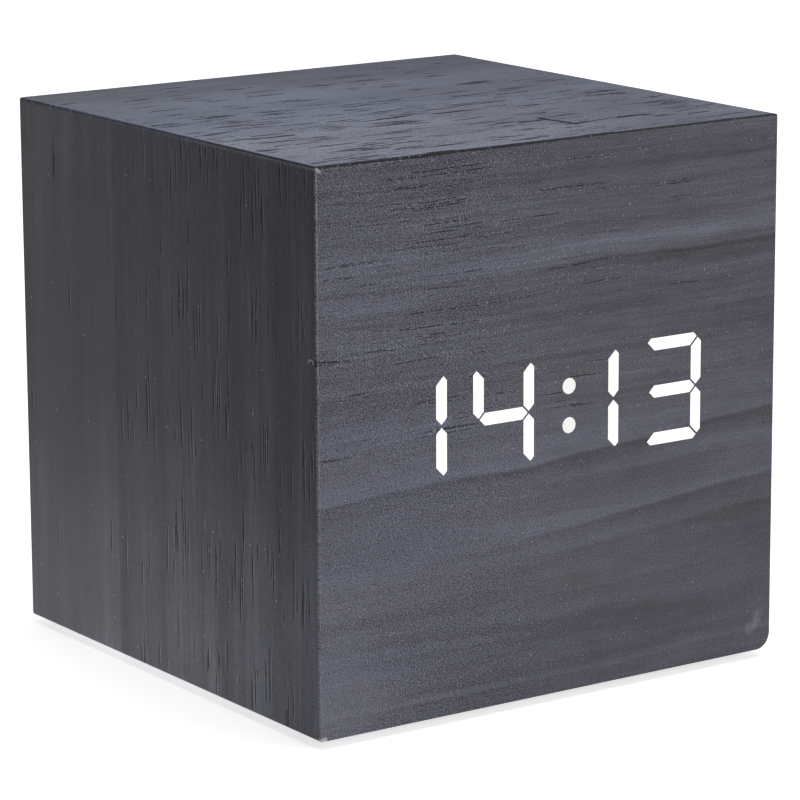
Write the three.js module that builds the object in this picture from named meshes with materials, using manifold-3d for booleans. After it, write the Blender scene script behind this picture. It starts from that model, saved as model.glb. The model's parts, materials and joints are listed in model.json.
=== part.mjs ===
// A cube-shaped wooden digital alarm clock: boards in a wood veneer, a display that shines
// through the front, and a plastic rear panel with keys, a power inlet and a battery bay.
// Millimetres. X runs to the right seen from the front, Y to the back and Z up.
// The origin is under the middle of the case, on the surface that the feet stand on.
import * as THREE from "three";
import { mergeVertices } from "three/addons/utils/BufferGeometryUtils.js";
import Module from "manifold-3d";

const wasm = await Module();
wasm.setup();

// Case
const case_width = 65;
const case_depth = 65;
const case_height = 65;
const board_thickness = 4.5;
const front_board_thickness = 3;
const veneer_thickness = 0.5;
const worn_edge_radius = 2;
const foot_diameter = 8;
const foot_height = 1;
const foot_inset = 9;

// Digits of the display, as seen on the front
const digit_width = 8.5;
const digit_height = 12.7;
const digit_pitch = 12.15;
const digit_stroke = 1.45;
const digit_gap = 0.25;
const digit_corner_cut = 1.1;
const digit_row_offset = -1.2;
const digit_row_height = 34;
const colon_offset = 2;
const colon_dot_diameter = 1.9;
const colon_dot_spacing = 4.6;
const digit_names = ["hour_tens", "hour_units", "minute_tens", "minute_units"];
const digit_numerals = [1, 4, 1, 3];
const lit_segments = { 1: "bc", 3: "abcdg", 4: "bcfg" };
const chamber_segments = ["abcdefg", "abcdefg", "bc", "abcdefg"];

// Display behind the front
const window_margin = 1.5;
const guide_plate_thickness = 0.8;
const guide_plate_margin = 0.5;
const film_thickness = 0.3;
const flange_thickness = 4;
const flange_side_margin = 1;
const flange_end_margin = 5;
const chamber_wall_share = 0.1;
const lamp_size = 0.8;
const lamp_height = 0.5;
const circuit_board_thickness = 1.6;
const chip_width = 10;
const chip_height = 7;
const chip_thickness = 2;
const chip_offset = -15;
const crystal_length = 8;
const crystal_width = 3.2;
const crystal_thickness = 3;
const crystal_offset = 14;
const display_screw_length = 7.6;
const display_screw_edge = 2.4;

// Ribbon cable and its sockets
const ribbon_width = 10;
const ribbon_thickness = 0.8;
const socket_width = 12;
const socket_height = 5;
const socket_depth = 5;
const ribbon_straight_share = 0.3;

// Rear panel and what it is screwed to
const panel_thickness = 2;
const panel_recess = 1.5;
const block_size = 6;
const block_depth = 8;
const pilot_depth = 6.6;

// Screws
const wood_screw_length = 8;
const wood_screw_diameter = 2;
const wood_screw_head_diameter = 4;
const wood_screw_head_height = 1.1;
const small_screw_diameter = 1.4;
const small_screw_head_diameter = 3.2;
const small_screw_head_height = 0.8;
const cross_slot_width = 0.5;
const cross_slot_length_share = 0.6;
const cross_slot_depth_share = 0.5;

// Battery bay and door
const cell_length = 44.5;
const cell_nub_diameter = 3.8;
const cell_nub_height = 0.9;
const cell_rim = 0.8;
const cell_spacing = 0.4;
const cell_count = 3;
const bay_wall = 1.2;
const bay_rib_width = 1;
const bay_rib_room = 3.05;
const door_thickness = 1.2;
const door_overlap = 0.75;
const door_pin_diameter = 1;
const door_pin_length = 0.9;
const door_groove_width = 0.7;
const door_groove_depth = 0.3;
const door_groove_length = 26;
const door_groove_pitch = 2.2;
const door_groove_count = 5;
const latch_width = 12;
const latch_height = 5;
const latch_travel = 0.6;
const latch_ridge_width = 0.6;
const latch_ridge_height = 0.4;
const latch_ridge_pitch = 1.2;
const latch_ridge_count = 3;

// Battery contacts and leads
const contact_margin = 1.25;
const contact_thickness = 0.4;
const contact_tab_width = 3;
const contact_tab_length = 3;
const spring_length = 3.2;
const spring_wire = 0.5;
const spring_turns = 3;
const spring_edge = 0.7;
const spring_tip_radius = 1.9;
const lead_diameter = 1.4;
const lead_clearance = 3;
const lead_inset = 4;

// Key board with its keys, sounder and power inlet
const key_board_height = 11.8;
const board_standoff = 5.5;
const board_edge_gap = 0.8;
const post_diameter = 4;
const post_inset = 4.5;
const switch_size = 6;
const switch_height = 3.5;
const plunger_diameter = 3.2;
const plunger_seat = 0.9;
const plunger_well = 1.7;
const key_diameter = 5;
const key_flange = 0.9;
const key_flange_thickness = 0.5;
const key_flange_clearance = 0.2;
const key_proud = 0.6;
const key_mark_size = 1.3;
const key_mark_height = 0.2;
const key_pitch = 7.5;
const key_row_offset = -0.5;
const sounder_diameter = 9;
const sounder_height = 4.5;
const sounder_mouth = 2;
const sounder_mouth_depth = 1.5;
const sounder_offset = -16.5;
const sound_hole_diameter = 1.2;
const sound_hole_pitch = 2.2;
const sound_hole_count = 6;
const jack_size = 7;
const jack_bore = 4.4;
const jack_bore_depth = 6;
const jack_pin_diameter = 1.3;
const jack_pin_length = 5.4;
const jack_offset = 14.6;

// Room between pieces, and how far a cutter runs past the face that it cuts
const fit_gap = 0.3;
const lit_window_gap = 0.1;
const cut_overrun = 1;

// Facets
const arc_steps = 12;
const half_arc_steps = 6;
const disc_sides = 32;
const rod_sides = 12;
const lead_sides = 8;
const lead_steps = 28;
const wire_sides = 5;
const wire_steps_per_turn = 12;
const ribbon_steps = 24;

// Places that follow from the sizes: the case from front to back and from foot to top
const front_face = -case_depth / 2;
const back_edge = case_depth / 2;
const veneer_back = front_face + veneer_thickness;
const front_board_back = veneer_back + front_board_thickness;
const case_bottom = foot_height;
const case_top = case_bottom + case_height;
const core_half_width = case_width / 2 - veneer_thickness;
const core_bottom = case_bottom + veneer_thickness;
const core_top = case_top - veneer_thickness;
const inner_half_width = core_half_width - board_thickness;
const inner_bottom = core_bottom + board_thickness;
const inner_top = core_top - board_thickness;

// The display from its window to its circuit board
const digit_row_middle = case_bottom + digit_row_height;
const digit_row_half = ((digit_names.length - 1) * digit_pitch + digit_width) / 2;
const window_half_width = digit_row_half + window_margin;
const window_half_height = digit_height / 2 + window_margin;
const guide_plate_back = veneer_back + guide_plate_thickness;
const film_back = guide_plate_back + film_thickness;
const flange_back = front_board_back + flange_thickness;
const flange_half_width = window_half_width + flange_side_margin;
const flange_half_height = window_half_height + flange_end_margin;
const display_board_back = flange_back + circuit_board_thickness;
const display_screw_x = flange_half_width - display_screw_edge;
const display_screw_z = flange_half_height - display_screw_edge;

// The rear panel with its battery bay, door and contacts. The cells fill the height that is left
// between the batten and the key board, which gives them the 10.5 mm of an AAA cell.
const panel_outside = back_edge - panel_recess;
const panel_inside = panel_outside - panel_thickness;
const panel_half_width = inner_half_width - fit_gap;
const panel_screw_x = inner_half_width - block_size / 2;
const upper_screw_z = inner_top - block_size / 2;
const lower_screw_z = inner_bottom + block_size / 2;
const door_inside = panel_outside - door_thickness;
const board_top = inner_top - board_edge_gap;
const board_bottom = board_top - key_board_height;
const bay_bottom = inner_bottom + block_size + fit_gap + bay_wall;
const bay_top = board_bottom - board_edge_gap - bay_wall;
const cell_pitch = (bay_top - bay_bottom - 2 * fit_gap + cell_spacing) / cell_count;
const cell_diameter = cell_pitch - cell_spacing;
const bay_floor = door_inside - cell_diameter - 2 * fit_gap;
const bay_back = bay_floor - bay_wall;
const bay_half_length = (cell_length + spring_length) / 2 + contact_thickness + fit_gap;
const cell_y = bay_floor + fit_gap + cell_diameter / 2;
const first_cell_z = bay_bottom + fit_gap + cell_diameter / 2;
const door_half_width = bay_half_length + door_overlap;
const door_bottom = bay_bottom - door_overlap;
const door_top = bay_top + door_overlap;
const door_pivot_y = door_inside + door_thickness / 2;
const door_pivot_z = door_bottom + door_thickness / 2;
const latch_slot_bottom = door_top - latch_height - latch_travel - fit_gap;
const contact_width = cell_diameter - 2 * contact_margin;
const spring_base_radius = contact_width / 2 - spring_edge;

// The key board and what stands on it
const board_rear = panel_inside - board_standoff;
const board_front = board_rear - circuit_board_thickness;
const board_ear_top = inner_top - block_size - board_edge_gap;
const board_half_width = inner_half_width - block_size - board_edge_gap;
const post_x = inner_half_width - post_inset;
const post_z = (board_bottom + board_ear_top) / 2;
const key_row_z = (board_bottom + board_top) / 2;
const switch_top = board_rear + switch_height;
const key_flange_rear = panel_inside - key_flange_clearance;
const key_flange_front = key_flange_rear - key_flange_thickness;
const ribbon_start_y = board_front - socket_depth - fit_gap;
const ribbon_end_y = display_board_back + socket_depth + fit_gap;

// Solids from three.js geometries
function solid_of(geometry) {
  const bare = geometry.clone();
  bare.deleteAttribute("normal");
  bare.deleteAttribute("uv");
  const merged = mergeVertices(bare);
  const corners = merged.index.array;
  const kept = [];
  for (let i = 0; i < corners.length; i += 3) {
    const [a, b, c] = corners.slice(i, i + 3);
    if (a !== b && b !== c && c !== a) {
      kept.push(a, b, c);
    }
  }
  const vertProperties = merged.attributes.position.array;
  const triVerts = Uint32Array.from(kept);
  return new wasm.Manifold(new wasm.Mesh({ numProp: 3, vertProperties, triVerts }));
}

function geometry_of(solid) {
  const { vertProperties, triVerts } = solid.getMesh();
  const geometry = new THREE.BufferGeometry();
  geometry.setAttribute("position", new THREE.BufferAttribute(Float32Array.from(vertProperties), 3));
  geometry.setIndex(new THREE.BufferAttribute(Uint32Array.from(triVerts), 1));
  geometry.computeVertexNormals();
  return geometry;
}

function block([x_from, x_to], [y_from, y_to], [z_from, z_to]) {
  const geometry = new THREE.BoxGeometry(x_to - x_from, y_to - y_from, z_to - z_from);
  geometry.translate((x_from + x_to) / 2, (y_from + y_to) / 2, (z_from + z_to) / 2);
  return solid_of(geometry);
}

// A rod along Y at a place in X and Z
function rod(x, z, [y_from, y_to], radius, sides = rod_sides) {
  const geometry = new THREE.CylinderGeometry(radius, radius, y_to - y_from, sides);
  geometry.translate(x, (y_from + y_to) / 2, z);
  return solid_of(geometry);
}

// A prism along Y from an outline in X and Z
function prism_along_y(outline, [y_from, y_to], steps = arc_steps) {
  const options = { depth: y_to - y_from, bevelEnabled: false, curveSegments: steps };
  const geometry = new THREE.ExtrudeGeometry(outline, options);
  geometry.applyMatrix4(new THREE.Matrix4().set(1, 0, 0, 0, 0, 0, -1, y_to, 0, 1, 0, 0, 0, 0, 0, 1));
  return solid_of(geometry);
}

// A prism along X from an outline in Y and Z
function prism_along_x(outline, [x_from, x_to], steps = arc_steps) {
  const options = { depth: x_to - x_from, bevelEnabled: false, curveSegments: steps };
  const geometry = new THREE.ExtrudeGeometry(outline, options);
  geometry.applyMatrix4(new THREE.Matrix4().set(0, 0, 1, x_from, 1, 0, 0, 0, 0, 1, 0, 0, 0, 0, 0, 1));
  return solid_of(geometry);
}

// A turned piece round Y from a profile of radius and height pairs that runs upwards
function turned(profile, sides) {
  const points = profile.map(([radius, height]) => new THREE.Vector2(radius, height));
  return solid_of(new THREE.LatheGeometry(points, sides));
}

// A round tube along a curve
function tube_along(path, diameter, sides, steps) {
  const outline = Array.from({ length: sides }, (_, i) => {
    const angle = 2 * Math.PI * i / sides;
    return [diameter / 2 * Math.cos(angle), diameter / 2 * Math.sin(angle)];
  });
  const options = { steps, bevelEnabled: false, extrudePath: path };
  return solid_of(new THREE.ExtrudeGeometry(polygon(outline), options));
}

function joined(solids) {
  return solids.reduce((whole, next) => whole.add(next));
}

function polygon(points) {
  return new THREE.Shape(points.map(([u, v]) => new THREE.Vector2(u, v)));
}

// A convex outline, listed clockwise, with every edge moved out by a distance
function grown(points, distance) {
  const lines = points.map(([u, v], i) => {
    const [next_u, next_v] = points[(i + 1) % points.length];
    const length = Math.hypot(next_u - u, next_v - v);
    const out_u = (v - next_v) / length;
    const out_v = (next_u - u) / length;
    return [out_u, out_v, out_u * u + out_v * v + distance];
  });
  return lines.map(([b_u, b_v, b_d], i) => {
    const [a_u, a_v, a_d] = lines[(i + lines.length - 1) % lines.length];
    const cross = a_u * b_v - a_v * b_u;
    return [(a_d * b_v - b_d * a_v) / cross, (a_u * b_d - b_u * a_d) / cross];
  });
}

function finish(color, roughness, metalness) {
  return new THREE.MeshStandardMaterial({ color, roughness, metalness });
}

const clock = new THREE.Group();

function place(name, solid, material, [x, y, z] = [0, 0, 0]) {
  const mesh = new THREE.Mesh(geometry_of(solid), material);
  mesh.name = name;
  mesh.position.set(x, y, z);
  clock.add(mesh);
  return mesh;
}

// Outline of the case seen from the front, drawn in by an inset: its lower right edge is worn round
function case_outline(inset) {
  const half = case_width / 2 - inset;
  const bottom = case_bottom + inset;
  const top = case_top - inset;
  const radius = Math.max(worn_edge_radius - inset, 0);
  const outline = new THREE.Shape();
  outline.moveTo(-half, bottom);
  outline.lineTo(half - radius, bottom);
  outline.absarc(half - radius, bottom + radius, radius, -Math.PI / 2, 0, false);
  outline.lineTo(half, top);
  outline.lineTo(-half, top);
  outline.closePath();
  return outline;
}

// The four boards of the sleeve, mitred at their corners
function case_boards() {
  const radius = Math.max(worn_edge_radius - veneer_thickness, 0);
  const arc_x = core_half_width - radius;
  const arc_z = core_bottom + radius;
  const along = [front_board_back, back_edge];
  const bottom = new THREE.Shape();
  bottom.moveTo(-inner_half_width, inner_bottom);
  bottom.lineTo(-core_half_width, core_bottom);
  bottom.absarc(arc_x, arc_z, radius, -Math.PI / 2, -Math.PI / 4, false);
  bottom.lineTo(inner_half_width, inner_bottom);
  bottom.closePath();
  const right = new THREE.Shape();
  right.moveTo(core_half_width, core_top);
  right.lineTo(inner_half_width, inner_top);
  right.lineTo(inner_half_width, inner_bottom);
  right.absarc(arc_x, arc_z, radius, -Math.PI / 4, 0, false);
  right.closePath();
  const top = polygon([
    [-inner_half_width, inner_top], [inner_half_width, inner_top],
    [core_half_width, core_top], [-core_half_width, core_top],
  ]);
  const left = polygon([
    [-inner_half_width, inner_bottom], [-inner_half_width, inner_top],
    [-core_half_width, core_top], [-core_half_width, core_bottom],
  ]);
  place("bottom_board", prism_along_y(bottom, along, half_arc_steps), finish(0x8a6a4c, 0.9, 0));
  place("right_board", prism_along_y(right, along, half_arc_steps), finish(0x8a6a4c, 0.9, 0));
  place("top_board", prism_along_y(top, along), finish(0x8a6a4c, 0.9, 0));
  place("left_board", prism_along_y(left, along), finish(0x8a6a4c, 0.9, 0));
}

// The veneer that runs round the sleeve, and the round rubber feet under it
function veneer_wrap() {
  const outline = case_outline(0);
  outline.holes.push(case_outline(veneer_thickness));
  place("veneer_wrap", prism_along_y(outline, [veneer_back, back_edge]), finish(0x4c4c51, 0.8, 0));
}

function feet() {
  const foot = turned([
    [0, 0], [foot_diameter / 2, 0], [foot_diameter / 2, foot_height], [0, foot_height],
  ], disc_sides);
  for (const [side, x_sign] of [["left", -1], ["right", 1]]) {
    for (const [end, y_sign] of [["front", -1], ["rear", 1]]) {
      const x = x_sign * (case_width / 2 - foot_inset);
      const y = y_sign * (case_depth / 2 - foot_inset);
      const mesh = place(`foot_${end}_${side}`, foot, finish(0x1d1d1f, 0.9, 0), [x, y, 0]);
      mesh.rotation.x = Math.PI / 2;
    }
  }
}

// Outline of one bar of a digit, named a to g clockwise from the top with g in the middle
function segment_outline(segment, left) {
  const w = digit_width;
  const h = digit_height;
  const s = digit_stroke;
  const c = digit_corner_cut;
  const q = digit_gap * Math.SQRT1_2;
  const middle = h / 2;
  const top_bar = [
    [(c + q) / 2, h - (c - q) / 2], [c, h], [w - c, h],
    [w - (c + q) / 2, h - (c - q) / 2], [w - s - q, h - s], [s + q, h - s],
  ];
  const upper_right = [
    [w - (c - q) / 2, h - (c + q) / 2], [w, h - c], [w, middle + q + s / 2],
    [w - s / 2, middle + q], [w - s, middle + q + s / 2], [w - s, h - s - q],
  ];
  const middle_bar = [
    [s / 2 + q, middle], [s + q, middle + s / 2], [w - s - q, middle + s / 2],
    [w - s / 2 - q, middle], [w - s - q, middle - s / 2], [s + q, middle - s / 2],
  ];
  const flipped = (points) => points.map(([u, v]) => [u, h - v]).reverse();
  const mirrored = (points) => points.map(([u, v]) => [w - u, v]).reverse();
  const bars = {
    a: top_bar,
    b: upper_right,
    c: flipped(upper_right),
    d: flipped(top_bar),
    e: mirrored(flipped(upper_right)),
    f: mirrored(upper_right),
    g: middle_bar,
  };
  return bars[segment].map(([u, v]) => [left + u, digit_row_middle - middle + v]);
}

function digit_left(index) {
  return digit_row_offset + (index - (digit_names.length - 1) / 2) * digit_pitch - digit_width / 2;
}

function outlines_of(segments, index) {
  return [...segments].map((segment) => segment_outline(segment, digit_left(index)));
}

function colon_outlines() {
  return [-1, 1].map((side) => {
    const middle_z = digit_row_middle + side * colon_dot_spacing / 2;
    return Array.from({ length: rod_sides }, (_, i) => {
      const angle = -2 * Math.PI * i / rod_sides;
      const radius = colon_dot_diameter / 2;
      return [colon_offset + radius * Math.cos(angle), middle_z + radius * Math.sin(angle)];
    });
  });
}

// What is lit: one entry for each light guide, with the outlines that shine through the veneer
function lit_outlines() {
  const lit = digit_names.map((name, index) => {
    return [`light_guide_${name}`, outlines_of(lit_segments[digit_numerals[index]], index)];
  });
  lit.push(["light_guide_colon", colon_outlines()]);
  return lit;
}

// The front board with its window, and the veneer over it, which is pierced for the lit bars
function front() {
  const middle = [digit_row_offset - window_half_width, digit_row_offset + window_half_width];
  const height = [digit_row_middle - window_half_height, digit_row_middle + window_half_height];
  const through = [veneer_back - cut_overrun, front_board_back + cut_overrun];
  let board = prism_along_y(case_outline(veneer_thickness), [veneer_back, front_board_back]);
  board = board.subtract(block(middle, through, height));
  const screw_reach = display_screw_length - flange_thickness - circuit_board_thickness;
  for (const side of [-1, 1]) {
    const x = digit_row_offset + side * display_screw_x;
    const z = digit_row_middle + side * display_screw_z;
    const pilot = [front_board_back - screw_reach - fit_gap, through[1]];
    board = board.subtract(rod(x, z, pilot, small_screw_diameter / 2 + fit_gap));
  }
  place("front_board", board, finish(0x8a6a4c, 0.9, 0));
  const veneer = case_outline(0);
  for (const [, outlines] of lit_outlines()) {
    for (const outline of outlines) {
      veneer.holes.push(polygon(grown(outline, lit_window_gap)));
    }
  }
  place("front_veneer", prism_along_y(veneer, [front_face, veneer_back]), finish(0x57575f, 0.75, 0));
}

// The light guides: a plate behind the veneer with the lit bars standing up through it
function light_guides() {
  for (const [name, outlines] of lit_outlines()) {
    const across = outlines.flat().map(([u]) => u);
    const up = outlines.flat().map(([, v]) => v);
    const margin = guide_plate_margin;
    const plate = block(
      [Math.min(...across) - margin, Math.max(...across) + margin],
      [veneer_back, guide_plate_back],
      [Math.min(...up) - margin, Math.max(...up) + margin],
    );
    const bars = outlines.map((outline) => {
      return prism_along_y(polygon(outline), [front_face, veneer_back + guide_plate_thickness / 2]);
    });
    place(name, joined([plate, ...bars]), finish(0xfffdf8, 0.4, 0));
  }
}

function chamber_outlines() {
  const digits = chamber_segments.flatMap((segments, index) => outlines_of(segments, index));
  return [...digits, ...colon_outlines()];
}

// The film that spreads the light, the white block of light chambers and the board of lamps
function display_stack() {
  const window_x = [
    digit_row_offset - window_half_width + fit_gap, digit_row_offset + window_half_width - fit_gap,
  ];
  const window_z = [
    digit_row_middle - window_half_height + fit_gap, digit_row_middle + window_half_height - fit_gap,
  ];
  const flange_x = [digit_row_offset - flange_half_width, digit_row_offset + flange_half_width];
  const flange_z = [digit_row_middle - flange_half_height, digit_row_middle + flange_half_height];
  const film = block(window_x, [guide_plate_back, film_back], window_z);
  place("diffuser_film", film, finish(0xf2f2f0, 0.5, 0));

  const nose = block(window_x, [film_back, flange_back], window_z);
  let reflector = nose.add(block(flange_x, [front_board_back, flange_back], flange_z));
  const chamber_wall = digit_stroke * chamber_wall_share;
  for (const outline of chamber_outlines()) {
    const chamber = polygon(grown(outline, -chamber_wall));
    const through = [film_back - cut_overrun, flange_back + cut_overrun];
    reflector = reflector.subtract(prism_along_y(chamber, through));
  }
  let board = block(flange_x, [flange_back, display_board_back], flange_z);
  for (const outline of chamber_outlines()) {
    const x = outline.reduce((sum, [u]) => sum + u, 0) / outline.length;
    const z = outline.reduce((sum, [, v]) => sum + v, 0) / outline.length;
    const half = lamp_size / 2;
    const along = [flange_back - lamp_height, flange_back + circuit_board_thickness / 2];
    board = board.add(block([x - half, x + half], along, [z - half, z + half]));
  }
  const screw = screw_solid(
    small_screw_diameter, small_screw_head_diameter, small_screw_head_height, display_screw_length,
  );
  for (const [side, sign] of [["left", -1], ["right", 1]]) {
    const x = digit_row_offset + sign * display_screw_x;
    const z = digit_row_middle + sign * display_screw_z;
    const hole = rod(
      x, z, [front_board_back - cut_overrun, display_board_back + cut_overrun],
      small_screw_diameter / 2 + fit_gap,
    );
    reflector = reflector.subtract(hole);
    board = board.subtract(hole);
    place(`display_screw_${side}`, screw, finish(0xb8bbc0, 0.35, 1), [x, display_board_back, z]);
  }
  place("reflector", reflector, finish(0xf4f4f2, 0.6, 0));
  place("display_board", board, finish(0x1f5a38, 0.5, 0));
}

// The driver chip, the timing crystal and the ribbon socket on the back of the display board
function display_electronics() {
  const z = digit_row_middle;
  const chip = block(
    [chip_offset - chip_width / 2, chip_offset + chip_width / 2],
    [display_board_back, display_board_back + chip_thickness],
    [z - chip_height / 2, z + chip_height / 2],
  );
  place("controller_chip", chip, finish(0x222224, 0.5, 0));
  const can = new THREE.Shape();
  const half = (crystal_length - crystal_width) / 2;
  can.absarc(crystal_offset + half, z, crystal_width / 2, -Math.PI / 2, Math.PI / 2, false);
  can.absarc(crystal_offset - half, z, crystal_width / 2, Math.PI / 2, 3 * Math.PI / 2, false);
  can.closePath();
  const along = [display_board_back, display_board_back + crystal_thickness];
  place("timing_crystal", prism_along_y(can, along, half_arc_steps), finish(0xc4c6c9, 0.3, 1));
}

function ribbon_sockets() {
  const across = [-socket_width / 2, socket_width / 2];
  const half = socket_height / 2;
  const display_socket = block(
    across, [display_board_back, display_board_back + socket_depth],
    [digit_row_middle - half, digit_row_middle + half],
  );
  place("display_socket", display_socket, finish(0xe9e6dc, 0.5, 0));
  const key_socket = block(
    across, [board_front - socket_depth, board_front], [key_row_z - half, key_row_z + half],
  );
  place("key_socket", key_socket, finish(0xe9e6dc, 0.5, 0));
}

// The flat ribbon cable that drops from the key board to the display board
function ribbon_cable() {
  const start = new THREE.Vector2(ribbon_start_y, key_row_z);
  const end = new THREE.Vector2(ribbon_end_y, digit_row_middle);
  const reach = (start.x - end.x) * (1 - ribbon_straight_share);
  const middle = new THREE.CubicBezierCurve(
    start,
    new THREE.Vector2(start.x - reach, start.y),
    new THREE.Vector2(end.x + reach, end.y),
    end,
  );
  const upper = [];
  const lower = [];
  for (let i = 0; i <= ribbon_steps; i += 1) {
    const at = middle.getPoint(i / ribbon_steps);
    const along = middle.getTangent(i / ribbon_steps);
    const half = ribbon_thickness / 2;
    upper.push([at.x - along.y * half, at.y + along.x * half]);
    lower.push([at.x + along.y * half, at.y - along.x * half]);
  }
  const band = polygon([...upper, ...lower.reverse()]);
  const ribbon = prism_along_x(band, [-ribbon_width / 2, ribbon_width / 2]);
  place("ribbon_cable", ribbon, finish(0xc9cacc, 0.6, 0));
}

// A screw whose head is upwards along Y and whose shank starts at zero, with a cross in its head
function screw_solid(diameter, head_diameter, head_height, length) {
  const tip = diameter / 2;
  const profile = [
    [0, -length], [diameter / 4, tip - length], [diameter / 2, 2 * tip - length], [diameter / 2, 0],
    [head_diameter / 2, 0], [head_diameter / 2, head_height / 2],
    [head_diameter / 4, head_height], [0, head_height],
  ];
  const slot_half = head_diameter * cross_slot_length_share / 2;
  const slot_y = [head_height * (1 - cross_slot_depth_share), head_height + cut_overrun];
  const width = [-cross_slot_width / 2, cross_slot_width / 2];
  const cross = block([-slot_half, slot_half], slot_y, width);
  return turned(profile, rod_sides).subtract(cross.add(block(width, slot_y, [-slot_half, slot_half])));
}

// The wooden blocks and the batten that the rear panel is screwed to
function rear_blocks() {
  const along = [panel_inside - block_depth, panel_inside];
  const pilot = (x, z) => {
    const radius = wood_screw_diameter / 2 + fit_gap;
    return rod(x, z, [panel_inside - pilot_depth, panel_inside + cut_overrun], radius);
  };
  const batten_z = [inner_bottom, inner_bottom + block_size];
  const batten = block([-inner_half_width, inner_half_width], along, batten_z)
    .subtract(pilot(-panel_screw_x, lower_screw_z))
    .subtract(pilot(panel_screw_x, lower_screw_z));
  place("rear_batten", batten, finish(0xb08d63, 0.85, 0));
  for (const [side, sign] of [["left", -1], ["right", 1]]) {
    const ends = [sign * inner_half_width, sign * (inner_half_width - block_size)];
    const across = [Math.min(...ends), Math.max(...ends)];
    const corner = block(across, along, [inner_top - block_size, inner_top])
      .subtract(pilot(sign * panel_screw_x, upper_screw_z));
    place(`corner_block_${side}`, corner, finish(0xb08d63, 0.85, 0));
  }
}

function panel_screws() {
  const screw = screw_solid(
    wood_screw_diameter, wood_screw_head_diameter, wood_screw_head_height, wood_screw_length,
  );
  for (const [level, z] of [["lower", lower_screw_z], ["upper", upper_screw_z]]) {
    for (const [side, sign] of [["left", -1], ["right", 1]]) {
      const at = [sign * panel_screw_x, panel_outside, z];
      place(`panel_screw_${level}_${side}`, screw, finish(0xb8bbc0, 0.35, 1), at);
    }
  }
}

// Places of the keys along their row, from left to right seen from the front
const key_names = ["down", "up", "set"];
const key_places = key_names.map((name, index) => {
  return [name, key_row_offset + (index - (key_names.length - 1) / 2) * key_pitch];
});

// The moulded rear panel: a plate with a battery bay behind it and posts for the key board
function rear_panel() {
  const plate_z = [inner_bottom + fit_gap, inner_top - fit_gap];
  const plate = block([-panel_half_width, panel_half_width], [panel_inside, panel_outside], plate_z);
  const bay_shell = block(
    [-bay_half_length - bay_wall, bay_half_length + bay_wall],
    [bay_back, panel_inside + panel_thickness / 2],
    [bay_bottom - bay_wall, bay_top + bay_wall],
  );
  const posts = [-1, 1].map((sign) => {
    return rod(sign * post_x, post_z, [board_rear, panel_inside + panel_thickness / 2], post_diameter / 2);
  });
  const bay_room = block(
    [-bay_half_length, bay_half_length], [bay_floor, panel_outside + cut_overrun], [bay_bottom, bay_top],
  );
  const door_room = block(
    [-door_half_width - fit_gap, door_half_width + fit_gap],
    [door_inside - fit_gap, panel_outside + cut_overrun],
    [door_bottom - fit_gap, door_top + fit_gap],
  );
  const pin_reach = door_half_width + door_pin_length + fit_gap;
  const pin_room = door_pin_diameter / 2 + fit_gap;
  const pin_slot = block(
    [-pin_reach, pin_reach],
    [door_pivot_y - pin_room, panel_outside + cut_overrun],
    [door_pivot_z - pin_room, door_pivot_z + pin_room],
  );
  const ribs = Array.from({ length: cell_count - 1 }, (_, index) => {
    const z = first_cell_z + (index + 1 / 2) * cell_pitch;
    return block(
      [-bay_half_length / 2, bay_half_length / 2],
      [bay_floor - bay_wall / 2, cell_y - bay_rib_room],
      [z - bay_rib_width / 2, z + bay_rib_width / 2],
    );
  });
  let panel = joined([plate, bay_shell, ...posts]);
  panel = panel.subtract(bay_room).subtract(door_room).subtract(pin_slot);
  panel = joined([panel, ...ribs]);
  for (const cutter of panel_holes()) {
    panel = panel.subtract(cutter);
  }
  place("rear_panel", panel, finish(0x1c1c1e, 0.55, 0));
}

function panel_holes() {
  const through = [panel_inside - cut_overrun, panel_outside + cut_overrun];
  const holes = [];
  for (const [, x] of key_places) {
    holes.push(rod(x, key_row_z, through, key_diameter / 2 + fit_gap, disc_sides));
  }
  const jack_half = jack_size / 2 + fit_gap;
  holes.push(block(
    [jack_offset - jack_half, jack_offset + jack_half], through,
    [key_row_z - jack_half, key_row_z + jack_half],
  ));
  holes.push(rod(sounder_offset, key_row_z, through, sound_hole_diameter / 2));
  for (let i = 0; i < sound_hole_count; i += 1) {
    const angle = 2 * Math.PI * i / sound_hole_count;
    const x = sounder_offset + sound_hole_pitch * Math.cos(angle);
    const z = key_row_z + sound_hole_pitch * Math.sin(angle);
    holes.push(rod(x, z, through, sound_hole_diameter / 2));
  }
  for (const x of [-panel_screw_x, panel_screw_x]) {
    for (const z of [lower_screw_z, upper_screw_z]) {
      holes.push(rod(x, z, through, wood_screw_diameter / 2 + fit_gap));
    }
  }
  for (const x of [-post_x, post_x]) {
    const pilot = [board_rear - cut_overrun, panel_inside];
    holes.push(rod(x, post_z, pilot, small_screw_diameter / 2 + fit_gap));
  }
  for (const [side, z] of [[-1, first_cell_z], [1, first_cell_z + (cell_count - 1) * cell_pitch]]) {
    const outer = side * (bay_half_length + fit_gap);
    const inner = side * (bay_half_length - contact_thickness - fit_gap);
    const half = contact_tab_width / 2 + fit_gap;
    holes.push(block(
      [Math.min(outer, inner), Math.max(outer, inner)],
      [bay_back - cut_overrun, bay_floor + fit_gap],
      [z - half, z + half],
    ));
  }
  return holes;
}

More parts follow.
